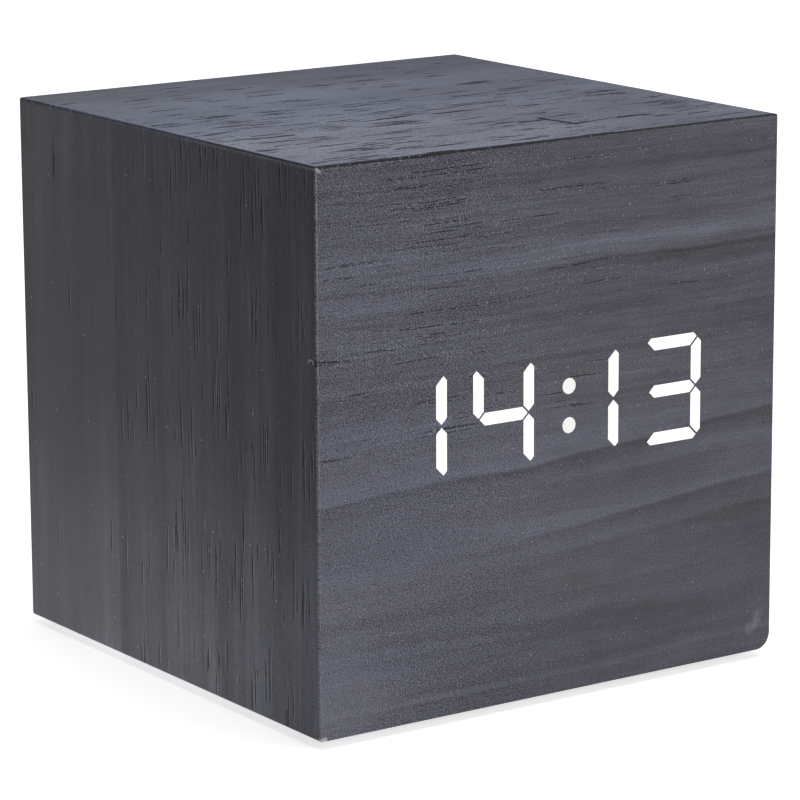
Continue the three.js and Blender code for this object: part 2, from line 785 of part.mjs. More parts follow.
// The battery door turns on two pins at the ends of its rounded lower edge
function battery_door() {
  const half = door_thickness / 2;
  const section = new THREE.Shape();
  section.moveTo(door_pivot_y + half, door_pivot_z);
  section.lineTo(door_pivot_y + half, door_top);
  section.lineTo(door_pivot_y - half, door_top);
  section.lineTo(door_pivot_y - half, door_pivot_z);
  section.absarc(door_pivot_y, door_pivot_z, half, Math.PI, 2 * Math.PI, false);
  section.closePath();
  let door = prism_along_x(section, [-door_half_width, door_half_width]);
  const pin_reach = door_half_width + door_pin_length;
  const pin_outline = new THREE.Shape();
  pin_outline.absarc(door_pivot_y, door_pivot_z, door_pin_diameter / 2, 0, 2 * Math.PI, false);
  door = door.add(prism_along_x(pin_outline, [-pin_reach, pin_reach]));
  const slot_half = latch_width / 2 + fit_gap;
  door = door.subtract(block(
    [-slot_half, slot_half],
    [door_inside - cut_overrun, panel_outside + cut_overrun],
    [latch_slot_bottom, door_top + cut_overrun],
  ));
  for (let i = 0; i < door_groove_count; i += 1) {
    const z = (door_pivot_z + latch_slot_bottom) / 2 + (i - (door_groove_count - 1) / 2) * door_groove_pitch;
    door = door.subtract(block(
      [-door_groove_length / 2, door_groove_length / 2],
      [panel_outside - door_groove_depth, panel_outside + cut_overrun],
      [z - door_groove_width / 2, z + door_groove_width / 2],
    ));
  }
  place("battery_door", door, finish(0x1c1c1e, 0.55, 0));
}

function battery_door_latch() {
  const across = [-latch_width / 2, latch_width / 2];
  const tongue = block(across, [door_inside, panel_outside], [door_top - latch_height, door_top]);
  const ridges = Array.from({ length: latch_ridge_count }, (_, index) => {
    const offset = (index - (latch_ridge_count - 1) / 2) * latch_ridge_pitch;
    const z = door_top - latch_height / 2 + offset;
    return block(
      across, [door_inside, panel_outside + latch_ridge_height],
      [z - latch_ridge_width / 2, z + latch_ridge_width / 2],
    );
  });
  place("battery_door_latch", joined([tongue, ...ridges]), finish(0x1c1c1e, 0.55, 0));
}

// The cells lie in turn: the first and the third have their positive end on the left
function cell_faces_left(index) {
  return index % 2 === 0;
}

function cell_end(index, positive) {
  const reach = bay_half_length - contact_thickness;
  const left = cell_faces_left(index) === positive;
  return [left ? -reach : reach, left ? 1 : -1];
}

function battery_cells() {
  const radius = cell_diameter / 2;
  const shoulder = cell_length - cell_nub_height;
  const profile = [
    [0, 0], [radius - cell_rim, 0], [radius, cell_rim / 2], [radius, shoulder - cell_rim],
    [radius - cell_rim, shoulder], [cell_nub_diameter / 2, shoulder],
    [cell_nub_diameter / 2, cell_length], [0, cell_length],
  ];
  const cell = turned(profile, disc_sides);
  for (let index = 0; index < cell_count; index += 1) {
    const [plate_x, inward] = cell_end(index, true);
    const tail_x = plate_x + inward * (fit_gap + cell_length);
    const at = [tail_x, cell_y, first_cell_z + index * cell_pitch];
    const mesh = place(`battery_cell_${index + 1}`, cell, finish(0x2f6f9f, 0.35, 0.3), at);
    mesh.rotation.z = inward * Math.PI / 2;
  }
}

// A contact plate flat against an end wall of the bay, in front of one cell or of two
function contact_plate(side, z_from, z_to) {
  const ends = [side * bay_half_length, side * (bay_half_length - contact_thickness)];
  const across = [Math.min(...ends), Math.max(...ends)];
  const half = contact_width / 2;
  return block(across, [cell_y - half, cell_y + half], [z_from - half, z_to + half]);
}

function contact_tab(side, z) {
  const ends = [side * bay_half_length, side * (bay_half_length - contact_thickness)];
  return block(
    [Math.min(...ends), Math.max(...ends)],
    [bay_back - contact_tab_length, cell_y],
    [z - contact_tab_width / 2, z + contact_tab_width / 2],
  );
}

// A coned spring from a contact plate to the flat end of a cell
function contact_spring(side, z) {
  return tube_along(spring_path(side, z), spring_wire, wire_sides, spring_turns * wire_steps_per_turn);
}

function spring_path(side, z) {
  const start_x = side * (bay_half_length - contact_thickness - spring_wire / 3);
  const rise = spring_length - fit_gap - spring_wire / 3 - spring_wire / 2;
  const steps = spring_turns * wire_steps_per_turn;
  const points = Array.from({ length: steps + 1 }, (_, i) => {
    const share = i / steps;
    const angle = 2 * Math.PI * spring_turns * share;
    const radius = spring_base_radius + (spring_tip_radius - spring_base_radius) * share;
    return new THREE.Vector3(
      start_x - side * rise * share, cell_y + radius * Math.cos(angle), z + radius * Math.sin(angle),
    );
  });
  return new THREE.CatmullRomCurve3(points);
}

// The least room between neighbouring turns of a spring, measured on points of its path
function least_spring_gap() {
  const points = spring_path(1, 0).getPoints(spring_turns * wire_steps_per_turn);
  let least = Infinity;
  for (let i = 0; i < points.length; i += 1) {
    for (let j = i + wire_steps_per_turn / 2; j < points.length; j += 1) {
      least = Math.min(least, points[i].distanceTo(points[j]) - spring_wire);
    }
  }
  return least;
}

function battery_contacts() {
  const cell_z = Array.from({ length: cell_count }, (_, index) => first_cell_z + index * cell_pitch);
  const last = cell_count - 1;
  const metal = () => finish(0xc9c7c0, 0.3, 1);
  const positive = contact_plate(-1, cell_z[0], cell_z[0]).add(contact_tab(-1, cell_z[0]));
  const negative = joined([
    contact_plate(1, cell_z[last], cell_z[last]),
    contact_tab(1, cell_z[last]),
    contact_spring(1, cell_z[last]),
  ]);
  place("contact_positive", positive, metal());
  place("contact_negative", negative, metal());
  const left = contact_plate(-1, cell_z[1], cell_z[2]).add(contact_spring(-1, cell_z[1]));
  const right = contact_plate(1, cell_z[0], cell_z[1]).add(contact_spring(1, cell_z[0]));
  place("contact_bridge_left", left, metal());
  place("contact_bridge_right", right, metal());
}

// The two leads run from the contact tabs, behind the bay, up to the key board
function battery_leads() {
  const lead = (side, z) => {
    const x = side * (bay_half_length - contact_thickness / 2);
    const tab_end = bay_back - contact_tab_length - fit_gap;
    const back = tab_end - lead_clearance;
    const board_x = side * (post_x - lead_inset);
    const points = [
      [x, tab_end, z], [x, tab_end - lead_diameter, z],
      [x, back, z + lead_clearance], [x, back, (z + post_z) / 2], [board_x, back, post_z - lead_clearance],
      [board_x, back + lead_clearance, post_z],
      [board_x, board_front - fit_gap - lead_diameter, post_z], [board_x, board_front - fit_gap, post_z],
    ].map(([px, py, pz]) => new THREE.Vector3(px, py, pz));
    return tube_along(new THREE.CatmullRomCurve3(points), lead_diameter, lead_sides, lead_steps);
  };
  place("lead_positive", lead(-1, first_cell_z), finish(0xb02a24, 0.5, 0));
  place("lead_negative", lead(1, first_cell_z + (cell_count - 1) * cell_pitch), finish(0x18181a, 0.5, 0));
}

// The key board with notched upper corners, held to the panel's posts by two screws
function key_board() {
  const ear_reach = post_x + post_diameter / 2;
  const thickness = [board_front, board_rear];
  const ears = block([-ear_reach, ear_reach], thickness, [board_bottom, board_ear_top]);
  const middle = block([-board_half_width, board_half_width], thickness, [board_bottom, board_top]);
  let board = ears.add(middle);
  const screw_length = circuit_board_thickness + board_standoff - fit_gap;
  const screw = screw_solid(
    small_screw_diameter, small_screw_head_diameter, small_screw_head_height, screw_length,
  );
  for (const [side, sign] of [["left", -1], ["right", 1]]) {
    const through = [board_front - cut_overrun, board_rear + cut_overrun];
    board = board.subtract(rod(sign * post_x, post_z, through, small_screw_diameter / 2 + fit_gap));
    const at = [sign * post_x, board_front, post_z];
    const mesh = place(`key_board_screw_${side}`, screw, finish(0xb8bbc0, 0.35, 1), at);
    mesh.rotation.x = Math.PI;
  }
  place("key_board", board, finish(0x1f5a38, 0.5, 0));
}

function switches() {
  const across = [-switch_size / 2, switch_size / 2];
  const well = [switch_top - plunger_well, switch_top + cut_overrun];
  const body = block(across, [board_rear, switch_top], across)
    .subtract(rod(0, 0, well, plunger_diameter / 2 + fit_gap));
  const plunger = rod(0, 0, [switch_top - plunger_seat, key_flange_front], plunger_diameter / 2);
  for (const [name, x] of key_places) {
    place(`switch_body_${name}`, body, finish(0x2a2a2c, 0.5, 0), [x, 0, key_row_z]);
    place(`switch_plunger_${name}`, plunger, finish(0x8d8f92, 0.4, 0), [x, 0, key_row_z]);
  }
}

// Raised plain marks on the keys: a triangle that points down or up, and a round dot
function key_mark(name) {
  const top = panel_outside + key_proud;
  const along = [top - key_mark_height, top + key_mark_height];
  if (name === "set") {
    return rod(0, 0, along, key_mark_size / 2);
  }
  const sign = name === "up" ? 1 : -1;
  const size = key_mark_size;
  const corners = [[0, size * sign], [size * sign, -size / 2 * sign], [-size * sign, -size / 2 * sign]];
  return prism_along_y(polygon(corners), along);
}

function key_caps() {
  const radius = key_diameter / 2;
  const top = panel_outside + key_proud;
  const cap = turned([
    [0, key_flange_front], [radius + key_flange, key_flange_front], [radius + key_flange, key_flange_rear],
    [radius, key_flange_rear], [radius, top - key_mark_height], [radius - key_mark_height, top], [0, top],
  ], disc_sides);
  for (const [name, x] of key_places) {
    place(`key_${name}`, cap.add(key_mark(name)), finish(0x2c2c2f, 0.5, 0), [x, 0, key_row_z]);
  }
}

// The sounder behind its holes in the panel, and the power inlet that reaches the panel's face
function sounder() {
  const radius = sounder_diameter / 2;
  const top = board_rear + sounder_height;
  const can = turned([
    [0, board_rear], [radius, board_rear], [radius, top], [sounder_mouth / 2, top],
    [sounder_mouth / 2, top - sounder_mouth_depth], [0, top - sounder_mouth_depth],
  ], disc_sides);
  place("sounder", can, finish(0x161617, 0.5, 0), [sounder_offset, 0, key_row_z]);
}

function power_inlet() {
  const half = jack_size / 2;
  const bore_end = panel_outside - jack_bore_depth;
  const bore = rod(0, 0, [bore_end, panel_outside + cut_overrun], jack_bore / 2, disc_sides);
  const pin = rod(0, 0, [bore_end - cut_overrun, bore_end + jack_pin_length], jack_pin_diameter / 2);
  const body = block([-half, half], [board_rear, panel_outside], [-half, half]).subtract(bore).add(pin);
  place("power_inlet", body, finish(0x141415, 0.4, 0), [jack_offset, 0, key_row_z]);
}

case_boards();
veneer_wrap();
feet();
front();
light_guides();
display_stack();
display_electronics();
ribbon_sockets();
ribbon_cable();
rear_blocks();
rear_panel();
panel_screws();
battery_door();
battery_door_latch();
battery_cells();
battery_contacts();
battery_leads();
key_board();
switches();
key_caps();
sounder();
power_inlet();
console.log(`least gap between the turns of a spring: ${least_spring_gap().toFixed(2)} mm`);

export default clock;
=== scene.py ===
# %% [markdown]
# A wooden cube alarm clock.
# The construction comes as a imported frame: every part already has its place and its size in metres,
# and this file gives the parts their looks. X runs to the right seen from the front, Y to the back
# and Z up, with the origin under the middle of the case.

# %% Load the frame
import json
import math

import bmesh
import bpy
from mathutils import Matrix, Vector
from mathutils.geometry import tessellate_polygon


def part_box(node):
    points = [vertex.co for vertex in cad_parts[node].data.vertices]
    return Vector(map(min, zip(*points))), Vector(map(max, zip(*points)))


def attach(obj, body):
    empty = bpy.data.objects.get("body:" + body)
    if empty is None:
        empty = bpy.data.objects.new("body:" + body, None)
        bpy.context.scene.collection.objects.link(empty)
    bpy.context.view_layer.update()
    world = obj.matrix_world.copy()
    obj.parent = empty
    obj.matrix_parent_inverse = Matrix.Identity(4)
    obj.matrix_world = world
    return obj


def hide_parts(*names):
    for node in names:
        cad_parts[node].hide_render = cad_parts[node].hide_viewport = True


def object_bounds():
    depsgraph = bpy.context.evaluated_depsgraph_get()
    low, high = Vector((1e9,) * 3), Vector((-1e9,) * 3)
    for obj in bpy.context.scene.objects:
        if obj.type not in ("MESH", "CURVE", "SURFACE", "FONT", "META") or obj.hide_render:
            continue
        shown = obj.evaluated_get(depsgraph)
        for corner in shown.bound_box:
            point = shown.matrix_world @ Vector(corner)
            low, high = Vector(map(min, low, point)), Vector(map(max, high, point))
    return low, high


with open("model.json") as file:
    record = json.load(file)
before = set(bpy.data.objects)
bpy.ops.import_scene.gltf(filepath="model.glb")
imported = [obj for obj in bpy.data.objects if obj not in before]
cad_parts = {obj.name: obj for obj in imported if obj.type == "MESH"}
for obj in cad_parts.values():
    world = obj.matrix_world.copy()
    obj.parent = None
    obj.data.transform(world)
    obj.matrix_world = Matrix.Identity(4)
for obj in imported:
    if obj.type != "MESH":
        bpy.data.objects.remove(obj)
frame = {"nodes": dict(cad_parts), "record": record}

MM = 0.001
scene = bpy.context.scene
cad_nodes = frame["nodes"]
cad_low, cad_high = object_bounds()
record = frame["record"]
slot_of_node = {row["node"]: row["material_slot"] for row in record["subparts"]}
body_of_node = {node: body for body, nodes in record["behaviour"]["bodies"].items() for node in nodes}
cad_size = [round(size / MM, 1) for size in cad_high - cad_low]
print("the frame holds", len(cad_nodes), "parts in a box of", cad_size, "mm")

# %% [markdown]
# The case is a cube of wood-grain skin. Its corners give the camera something to be fitted to, so the
# boxes of the two skins are read from the frame first. Nothing below types a place of the case again.

# %% Measure the case
sleeve_low, sleeve_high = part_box("veneer_wrap")
face_low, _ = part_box("front_veneer")
case_low = Vector((sleeve_low.x, face_low.y, sleeve_low.z))
case_high = sleeve_high
case_size = case_high - case_low
case_middle = (case_low + case_high) / 2
print("the case measures", [round(s / MM, 2) for s in case_size], "mm")

# %% [markdown]
# The photograph is taken from the left and a little above, with a long lens, so the edges of the cube
# nearly keep their directions. A camera could be placed by eye, but here its turn, height, lens and
# distance come from fitting the seven visible corners of a cube, and the camera is set from those values.

# %% Camera
CAMERA_AZIMUTH = math.radians(-34.68)
CAMERA_ELEVATION = math.radians(12.72)
CAMERA_ROLL = math.radians(-0.29)
CAMERA_LENS = 176.7
CAMERA_SENSOR = 36.0
CAMERA_DISTANCE = 475.0 * MM
CAMERA_SLIDE_RIGHT = 0.79 * MM
CAMERA_SLIDE_UP = -3.43 * MM


def place_camera():
    """The camera looks at the middle of the case, slid a little within its own picture plane."""
    away = Vector((
        math.sin(CAMERA_AZIMUTH) * math.cos(CAMERA_ELEVATION),
        -math.cos(CAMERA_AZIMUTH) * math.cos(CAMERA_ELEVATION),
        math.sin(CAMERA_ELEVATION),
    ))
    level_right = (-away).cross(Vector((0, 0, 1))).normalized()
    level_up = level_right.cross(-away)
    right = level_right * math.cos(CAMERA_ROLL) + level_up * math.sin(CAMERA_ROLL)
    up = level_up * math.cos(CAMERA_ROLL) - level_right * math.sin(CAMERA_ROLL)
    target = case_middle + right * CAMERA_SLIDE_RIGHT + up * CAMERA_SLIDE_UP
    data = bpy.data.cameras.new("camera")
    data.lens = CAMERA_LENS
    data.sensor_width = CAMERA_SENSOR
    data.clip_start = 0.01
    data.clip_end = 50
    camera = bpy.data.objects.new("camera", data)
    turn = Matrix((right, up, away)).transposed()
    camera.matrix_world = Matrix.Translation(target + away * CAMERA_DISTANCE) @ turn.to_4x4()
    scene.collection.objects.link(camera)
    scene.camera = camera
    return camera


camera = place_camera()
print("the camera stands at", [round(c, 3) for c in camera.matrix_world.translation], "m")

# %% [markdown]
# A finish is a small network of shader nodes. Writing each one out would fill pages, so helpers come
# first. A wire is what one node puts out for others. Python's own signs work on wires: a + b adds the
# node that does this sum, and returns the wire from it.

# %% Wires between nodes
def add_node(tree, kind, inputs=None, **settings):
    """Adds a node, sets its options, and fills its inputs with values or with wires from other nodes."""
    made = tree.nodes.new(kind)
    for option, value in settings.items():
        setattr(made, option, value)
    for key, value in (inputs or {}).items():
        if isinstance(value, Wire):
            tree.links.new(value.socket, made.inputs[key])
        else:
            made.inputs[key].default_value = value
    return made


def wire_from(kind, inputs, output=0, tree=None, **settings):
    """Adds a node, to the tree that its wires come from if none is given, and returns a wire from it."""
    if tree is None:
        tree = next(value.tree for value in inputs.values() if isinstance(value, Wire))
    return Wire(add_node(tree, kind, inputs, **settings).outputs[output])


def sum_of(operation, *values, clamp=False):
    """One sum on wires and plain numbers."""
    return wire_from("ShaderNodeMath", dict(enumerate(values)), operation=operation, use_clamp=clamp)


class Wire:
    """What one output of a node gives, in the tree that the node stands in."""

    def __init__(self, socket):
        self.socket = socket
        self.tree = socket.id_data

    def __add__(self, other):
        return sum_of("ADD", self, other)

    def __radd__(self, other):
        """Python's sum of a list starts with a plain 0, which needs no node."""
        return self if other == 0 else sum_of("ADD", other, self)

    def __sub__(self, other):
        return sum_of("SUBTRACT", self, other)

    def __rsub__(self, other):
        return sum_of("SUBTRACT", other, self)

    def __mul__(self, other):
        return sum_of("MULTIPLY", self, other)

    def __rmul__(self, other):
        return sum_of("MULTIPLY", other, self)

    def __truediv__(self, other):
        return sum_of("DIVIDE", self, other)

    def __pow__(self, power):
        return sum_of("POWER", self, power)

    def __abs__(self):
        return sum_of("ABSOLUTE", self)

    def __lt__(self, other):
        return sum_of("LESS_THAN", self, other)

    def __gt__(self, other):
        return sum_of("GREATER_THAN", self, other)


def larger(first, second):
    return sum_of("MAXIMUM", first, second)


def smaller(first, second):
    return sum_of("MINIMUM", first, second)


def distance_of(u, v):
    """How far a place is from the middle, from its distances along two axes."""
    return sum_of("SQRT", u ** 2 + v ** 2)


def rise(value, start, end, low=0.0, high=1.0):
    """A soft step: low up to start, high from end on."""
    inputs = {"Value": value, "From Min": start, "From Max": end, "To Min": low, "To Max": high}
    return wire_from("ShaderNodeMapRange", inputs, interpolation_type="SMOOTHSTEP", clamp=True)


def vector_of(x, y, z=0.0):
    return wire_from("ShaderNodeCombineXYZ", {0: x, 1: y, 2: z})


def parts_of(wire, kind="XYZ"):
    """The three parts of a vector, or of a colour."""
    parts = add_node(wire.tree, "ShaderNodeSeparate" + kind, {0: wire}).outputs
    return [Wire(part) for part in parts]


print("the node helpers are ready")

# %% Helpers for colours
def linear(red, green, blue):
    """A colour as it is read off a screen, from 0 to 255, turned into the linear values of a shader."""
    def channel(value):
        value /= 255
        return value / 12.92 if value <= 0.04045 else ((value + 0.055) / 1.055) ** 2.4
    return (channel(red), channel(green), channel(blue), 1.0)


def painted(share, under, over):
    """Puts one colour over another, by a share from 0 to 1."""
    inputs = {"Factor": share, 6: under, 7: over}
    return wire_from("ShaderNodeMix", inputs, output=2, data_type="RGBA", clamp_factor=True)


def tinted(share, colour, tint):
    """Multiplies a colour by a tint, by a share from 0 to 1."""
    inputs = {"Factor": share, 6: colour, 7: (*tint, 1.0)}
    return wire_from("ShaderNodeMix", inputs, output=2, data_type="RGBA", blend_type="MULTIPLY")


def tones(value, stops):
    """Turns a number into a colour along a row of stops, each a position and a colour from 0 to 255."""
    colour = wire_from("ShaderNodeValToRGB", {0: value})
    ramp = colour.socket.node.color_ramp
    for _ in stops[2:]:
        ramp.elements.new(0.5)
    for element, (position, shade) in zip(ramp.elements, stops):
        element.position = position
        element.color = linear(*shade)
    return colour


def three_tones(tone, colour, darker, lighter, lift=0):
    """A colour that gets darker below a tone of a half and lighter above it, by the given factors."""
    dark = tuple(channel * darker for channel in colour)
    light = tuple(min(255, channel * lighter + lift) for channel in colour)
    return tones(tone, [(0.0, dark), (0.5, colour), (1.0, light)])


def new_finish(name, **sockets):
    """A material with its one surface shader, whose plain values are set on the shader's own sockets."""
    material = bpy.data.materials.new(name)
    material.use_nodes = True
    shader = material.node_tree.nodes["Principled BSDF"]
    for socket, value in sockets.items():
        shader.inputs[socket.replace("_", " ")].default_value = value
    return material


def finished(material, relief=None, depth=0.0, **wires):
    """Leads the wires of a finish to its shader. A relief from 0 to 1 has a depth in millimetres."""
    tree = material.node_tree
    shader = tree.nodes["Principled BSDF"]
    for socket, wire in wires.items():
        tree.links.new(wire.socket, shader.inputs[socket.replace("_", " ")])
    if relief is not None:
        bump = add_node(tree, "ShaderNodeBump", {"Height": relief, "Distance": depth * MM, "Strength": 1.0})
        tree.links.new(bump.outputs[0], shader.inputs["Normal"])
    return material


finishes = {}
print("the colour helpers are ready")

# %% [markdown]
# Wood and plastic are told by their patterns: clouds, streaks, dashes, specks, scratches and worn spots.
# Pictures of them would have to be fitted to each piece. These patterns are sums on the place in space,
# in millimetres, so they fit every piece at its true scale.

# %% Helpers for patterns
def place_in_mm(material, kind="Object"):
    """The place on the piece in millimetres, as one vector and as its three parts."""
    coordinates = Wire(add_node(material.node_tree, "ShaderNodeTexCoord").outputs[kind])
    where = wire_from("ShaderNodeVectorMath", {0: coordinates, "Scale": 1 / MM}, operation="SCALE")
    return where, *parts_of(where)


def cloud(where, sizes, detail=2.0, roughness=0.5, shift=0.0):
    """Soft noise from about -1 to 1, whose spots measure the given millimetres along each axis."""
    shares = tuple(1 / size for size in sizes)
    inputs = {0: where, 1: shares, 2: (shift, shift * 1.7, shift * 0.6)}
    placed = wire_from("ShaderNodeVectorMath", inputs, operation="MULTIPLY_ADD")
    inputs = {"Vector": placed, "Scale": 1.0, "Detail": detail, "Roughness": roughness}
    return wire_from("ShaderNodeTexNoise", inputs) * 4.0 - 2.0


def spots(along, across, cell, radii, kept, shift=0.0):
    """Long spots of random size, one in each cell of a stretched pattern, of which a share is kept."""
    placed = vector_of(along * (1 / cell[0]) + shift, across * (1 / cell[1]) + shift * 1.3)
    inputs = {"Vector": placed, "Scale": 1.0}
    distance = wire_from("ShaderNodeTexVoronoi", inputs, output="Distance", voronoi_dimensions="2D")
    colour = Wire(distance.socket.node.outputs["Color"])
    keeping_lot, size_lot, _ = parts_of(colour, "Color")
    radius = size_lot * (radii[1] - radii[0]) + radii[0]
    return rise(distance, radius * 0.6, radius, 1.0, 0.0) * (keeping_lot < kept)


def near_segment(u, v, start, end, reach):
    """1 on a straight scratch from start to end, fading to 0 at its reach."""
    run = (end[0] - start[0], end[1] - start[1])
    length = math.hypot(*run)
    u, v = u - start[0], v - start[1]
    along = u * (run[0] / length) + v * (run[1] / length)
    off = u * (run[1] / length) + v * (-run[0] / length)
    past = along - smaller(larger(along, 0.0), length)
    return rise(distance_of(past, off), reach * 0.4, reach, 1.0, 0.0)


def near_ring(u, v, middle, radius, reach):
    """1 on a small round scratch, fading to 0 at its reach."""
    off = abs(distance_of(u - middle[0], v - middle[1]) - radius)
    return rise(off, reach * 0.4, reach, 1.0, 0.0)


def soft_areas(u, v, areas):
    """Adds up soft light or dark areas: each has a middle, a reach along both ways and a strength."""
    strengths = []
    for (u_middle, v_middle), (u_reach, v_reach), strength in areas:
        across = ((u - u_middle) * (1 / u_reach)) ** 2
        upward = ((v - v_middle) * (1 / v_reach)) ** 2
        strengths.append(sum_of("EXPONENT", (across + upward) * -1.0) * strength)
    return sum(strengths)


print("the pattern helpers are ready")

# %% [markdown]
# The studio is plain: a pale floor, white all round, a broad lamp above, one to the front right and a
# weak one behind. Seen by the camera directly, or in a gloss, the floor and the air are pure white.
# The floor keeps the clock's shadow: what the camera sees of it is brightened, not replaced. Like a light
# table, it also gives a little light to the left of the clock. From below it's clear, to show the feet.

# %% Floor, air and lamps
WHITE = (1, 1, 1, 1)
FLOOR_REACH = 1.2
FLOOR_COLOUR = (0.9, 0.9, 0.9, 1)
LAMPS = {
    "lamp_above": {"place": (0.05, -0.10, 0.75), "size": 0.60, "power": 3.1},
    "lamp_front_right": {"place": (0.55, -0.75, 0.35), "size": 0.50, "power": 3.2},
    "lamp_behind": {"place": (0.20, 0.80, 0.45), "size": 0.60, "power": 1.2},
}
AIR_STRENGTH = 0.06
FLOOR_GLOW = 0.7
TABLE_LIGHT = 2.0
TABLE_MIDDLE = (-0.050, 0.014, 0.0)
TABLE_REACH = (0.014, 0.062)


def seen_directly(tree):
    """1 where the camera, a mirror-like gloss or a clear body looks, and 0 for light that is scattered."""
    path = add_node(tree, "ShaderNodeLightPath").outputs
    seen = larger(Wire(path["Is Camera Ray"]), Wire(path["Is Glossy Ray"]))
    return larger(seen, Wire(path["Is Transmission Ray"]))


def one_of(share, first, second):
    """The first shader where the share is 0, and the second where it is 1."""
    return wire_from("ShaderNodeMixShader", {0: share, 1: first, 2: second})


def make_air():
    world = bpy.data.worlds.new("air")
    scene.world = world
    world.use_nodes = True
    tree = world.node_tree
    tree.nodes.clear()
    inputs = {"Color": WHITE, "Strength": AIR_STRENGTH}
    scattered = wire_from("ShaderNodeBackground", inputs, tree=tree)
    white = wire_from("ShaderNodeBackground", {"Color": WHITE, "Strength": 1.0}, tree=tree)
    air = one_of(seen_directly(tree), scattered, white)
    add_node(tree, "ShaderNodeOutputWorld", {"Surface": air})


def floor_finish():
    material = bpy.data.materials.new("pale_floor")
    material.use_nodes = True
    tree = material.node_tree
    tree.nodes.clear()
    matt = wire_from("ShaderNodeBsdfDiffuse", {"Color": FLOOR_COLOUR}, tree=tree)
    glow = wire_from("ShaderNodeEmission", {"Color": WHITE, "Strength": FLOOR_GLOW}, tree=tree)
    bright = wire_from("ShaderNodeAddShader", {0: matt, 1: glow})
    place = Wire(add_node(tree, "ShaderNodeTexCoord").outputs["Object"])
    inputs = {0: place, 1: TABLE_MIDDLE}
    away = wire_from("ShaderNodeVectorMath", inputs, output="Value", operation="DISTANCE")
    strength = rise(away, *TABLE_REACH, TABLE_LIGHT, 0.0)
    table = wire_from("ShaderNodeEmission", {"Color": WHITE, "Strength": strength})
    lit = wire_from("ShaderNodeAddShader", {0: matt, 1: table})
    above = one_of(seen_directly(tree), lit, bright)
    clear = wire_from("ShaderNodeBsdfTransparent", {}, tree=tree)
    from_below = Wire(add_node(tree, "ShaderNodeNewGeometry").outputs["Backfacing"])
    add_node(tree, "ShaderNodeOutputMaterial", {"Surface": one_of(from_below, above, clear)})
    return material


def make_floor():
    corners = [(-1, -1), (1, -1), (1, 1), (-1, 1)]
    data = bpy.data.meshes.new("floor")
    data.from_pydata([(FLOOR_REACH * x, FLOOR_REACH * y, 0) for x, y in corners], [], [(0, 1, 2, 3)])
    data.materials.append(floor_finish())
    floor = bpy.data.objects.new("floor", data)
    scene.collection.objects.link(floor)


def make_lamps():
    for name, values in LAMPS.items():
        data = bpy.data.lights.new(name, "AREA")
        data.shape = "DISK"
        data.size = values["size"]
        data.energy = values["power"]
        lamp = bpy.data.objects.new(name, data)
        place = Vector(values["place"])
        lamp.location = place
        lamp.rotation_euler = (case_middle - place).to_track_quat("-Z", "Y").to_euler()
        scene.collection.objects.link(lamp)


make_air()
make_floor()
make_lamps()
scene.view_settings.view_transform = "Standard"
print("the studio has", len(LAMPS), "lamps")

# %% [markdown]
# The four sides of the case are one strip of skin that is folded round the cube, so its grain runs up
# the left side, over the top and down the right. A plain box with a picture couldn't follow the folds.
# Here the strip gets a map of its own: one direction is the distance round the case, the other the depth.

# %% Outline of the case
WORN_RADIUS = 2.0 * MM
FOLD_RADIUS = 0.28 * MM
SKIN = 0.5 * MM
WORN_STEPS = 10
FOLD_STEPS = 4


def case_outline(inset=0.0):
    """Points of the case seen from the front, from the middle of the bottom up the left side and round."""
    left, right = case_low.x, case_high.x
    bottom, top = case_low.z, case_high.z
    corners = [
        (left, bottom, FOLD_RADIUS, FOLD_STEPS, 270), (left, top, FOLD_RADIUS, FOLD_STEPS, 180),
        (right, top, FOLD_RADIUS, FOLD_STEPS, 90), (right, bottom, WORN_RADIUS, WORN_STEPS, 0),
    ]
    points = [Vector((0, bottom + inset))]
    for x, z, radius, steps, start in corners:
        towards = Vector((1 if x == left else -1, 1 if z == bottom else -1))
        middle = Vector((x, z)) + towards * radius
        for step in range(steps + 1):
            angle = math.radians(start - 90 * step / steps)
            points.append(middle + Vector((math.cos(angle), math.sin(angle))) * (radius - inset))
    return points


outline = case_outline()
print("the outline of the case has", len(outline), "points")

# %% Fold the sleeve
FRONT_SEAM = [(0.0, 0.10), (0.04, 0.03), (0.12, 0.0)]
REAR_EDGE = [(-0.20, 0.0), (-0.06, 0.05), (0.0, 0.16)]


def put_in_scene(name, mesh, material, smooth=True):
    """Makes an object of a finished mesh, at the origin, unturned and unscaled."""
    piece = bpy.data.objects.new(name, mesh)
    scene.collection.objects.link(piece)
    mesh.materials.clear()
    mesh.materials.append(material)
    if smooth:
        mesh.shade_smooth()
    return piece


def add_walls(build, row, next_row):
    """Adds the faces between two closed rows with the same number of points."""
    faces = []
    for i in range(len(row)):
        j = (i + 1) % len(row)
        faces.append(build.faces.new((row[i], row[j], next_row[j], next_row[i])))
    return faces


def mesh_from(build, name):
    """Ends the building of a shape: all faces look outwards, and it becomes a mesh."""
    bmesh.ops.recalc_face_normals(build, faces=build.faces)
    mesh = bpy.data.meshes.new(name)
    build.to_mesh(mesh)
    build.free()
    return mesh


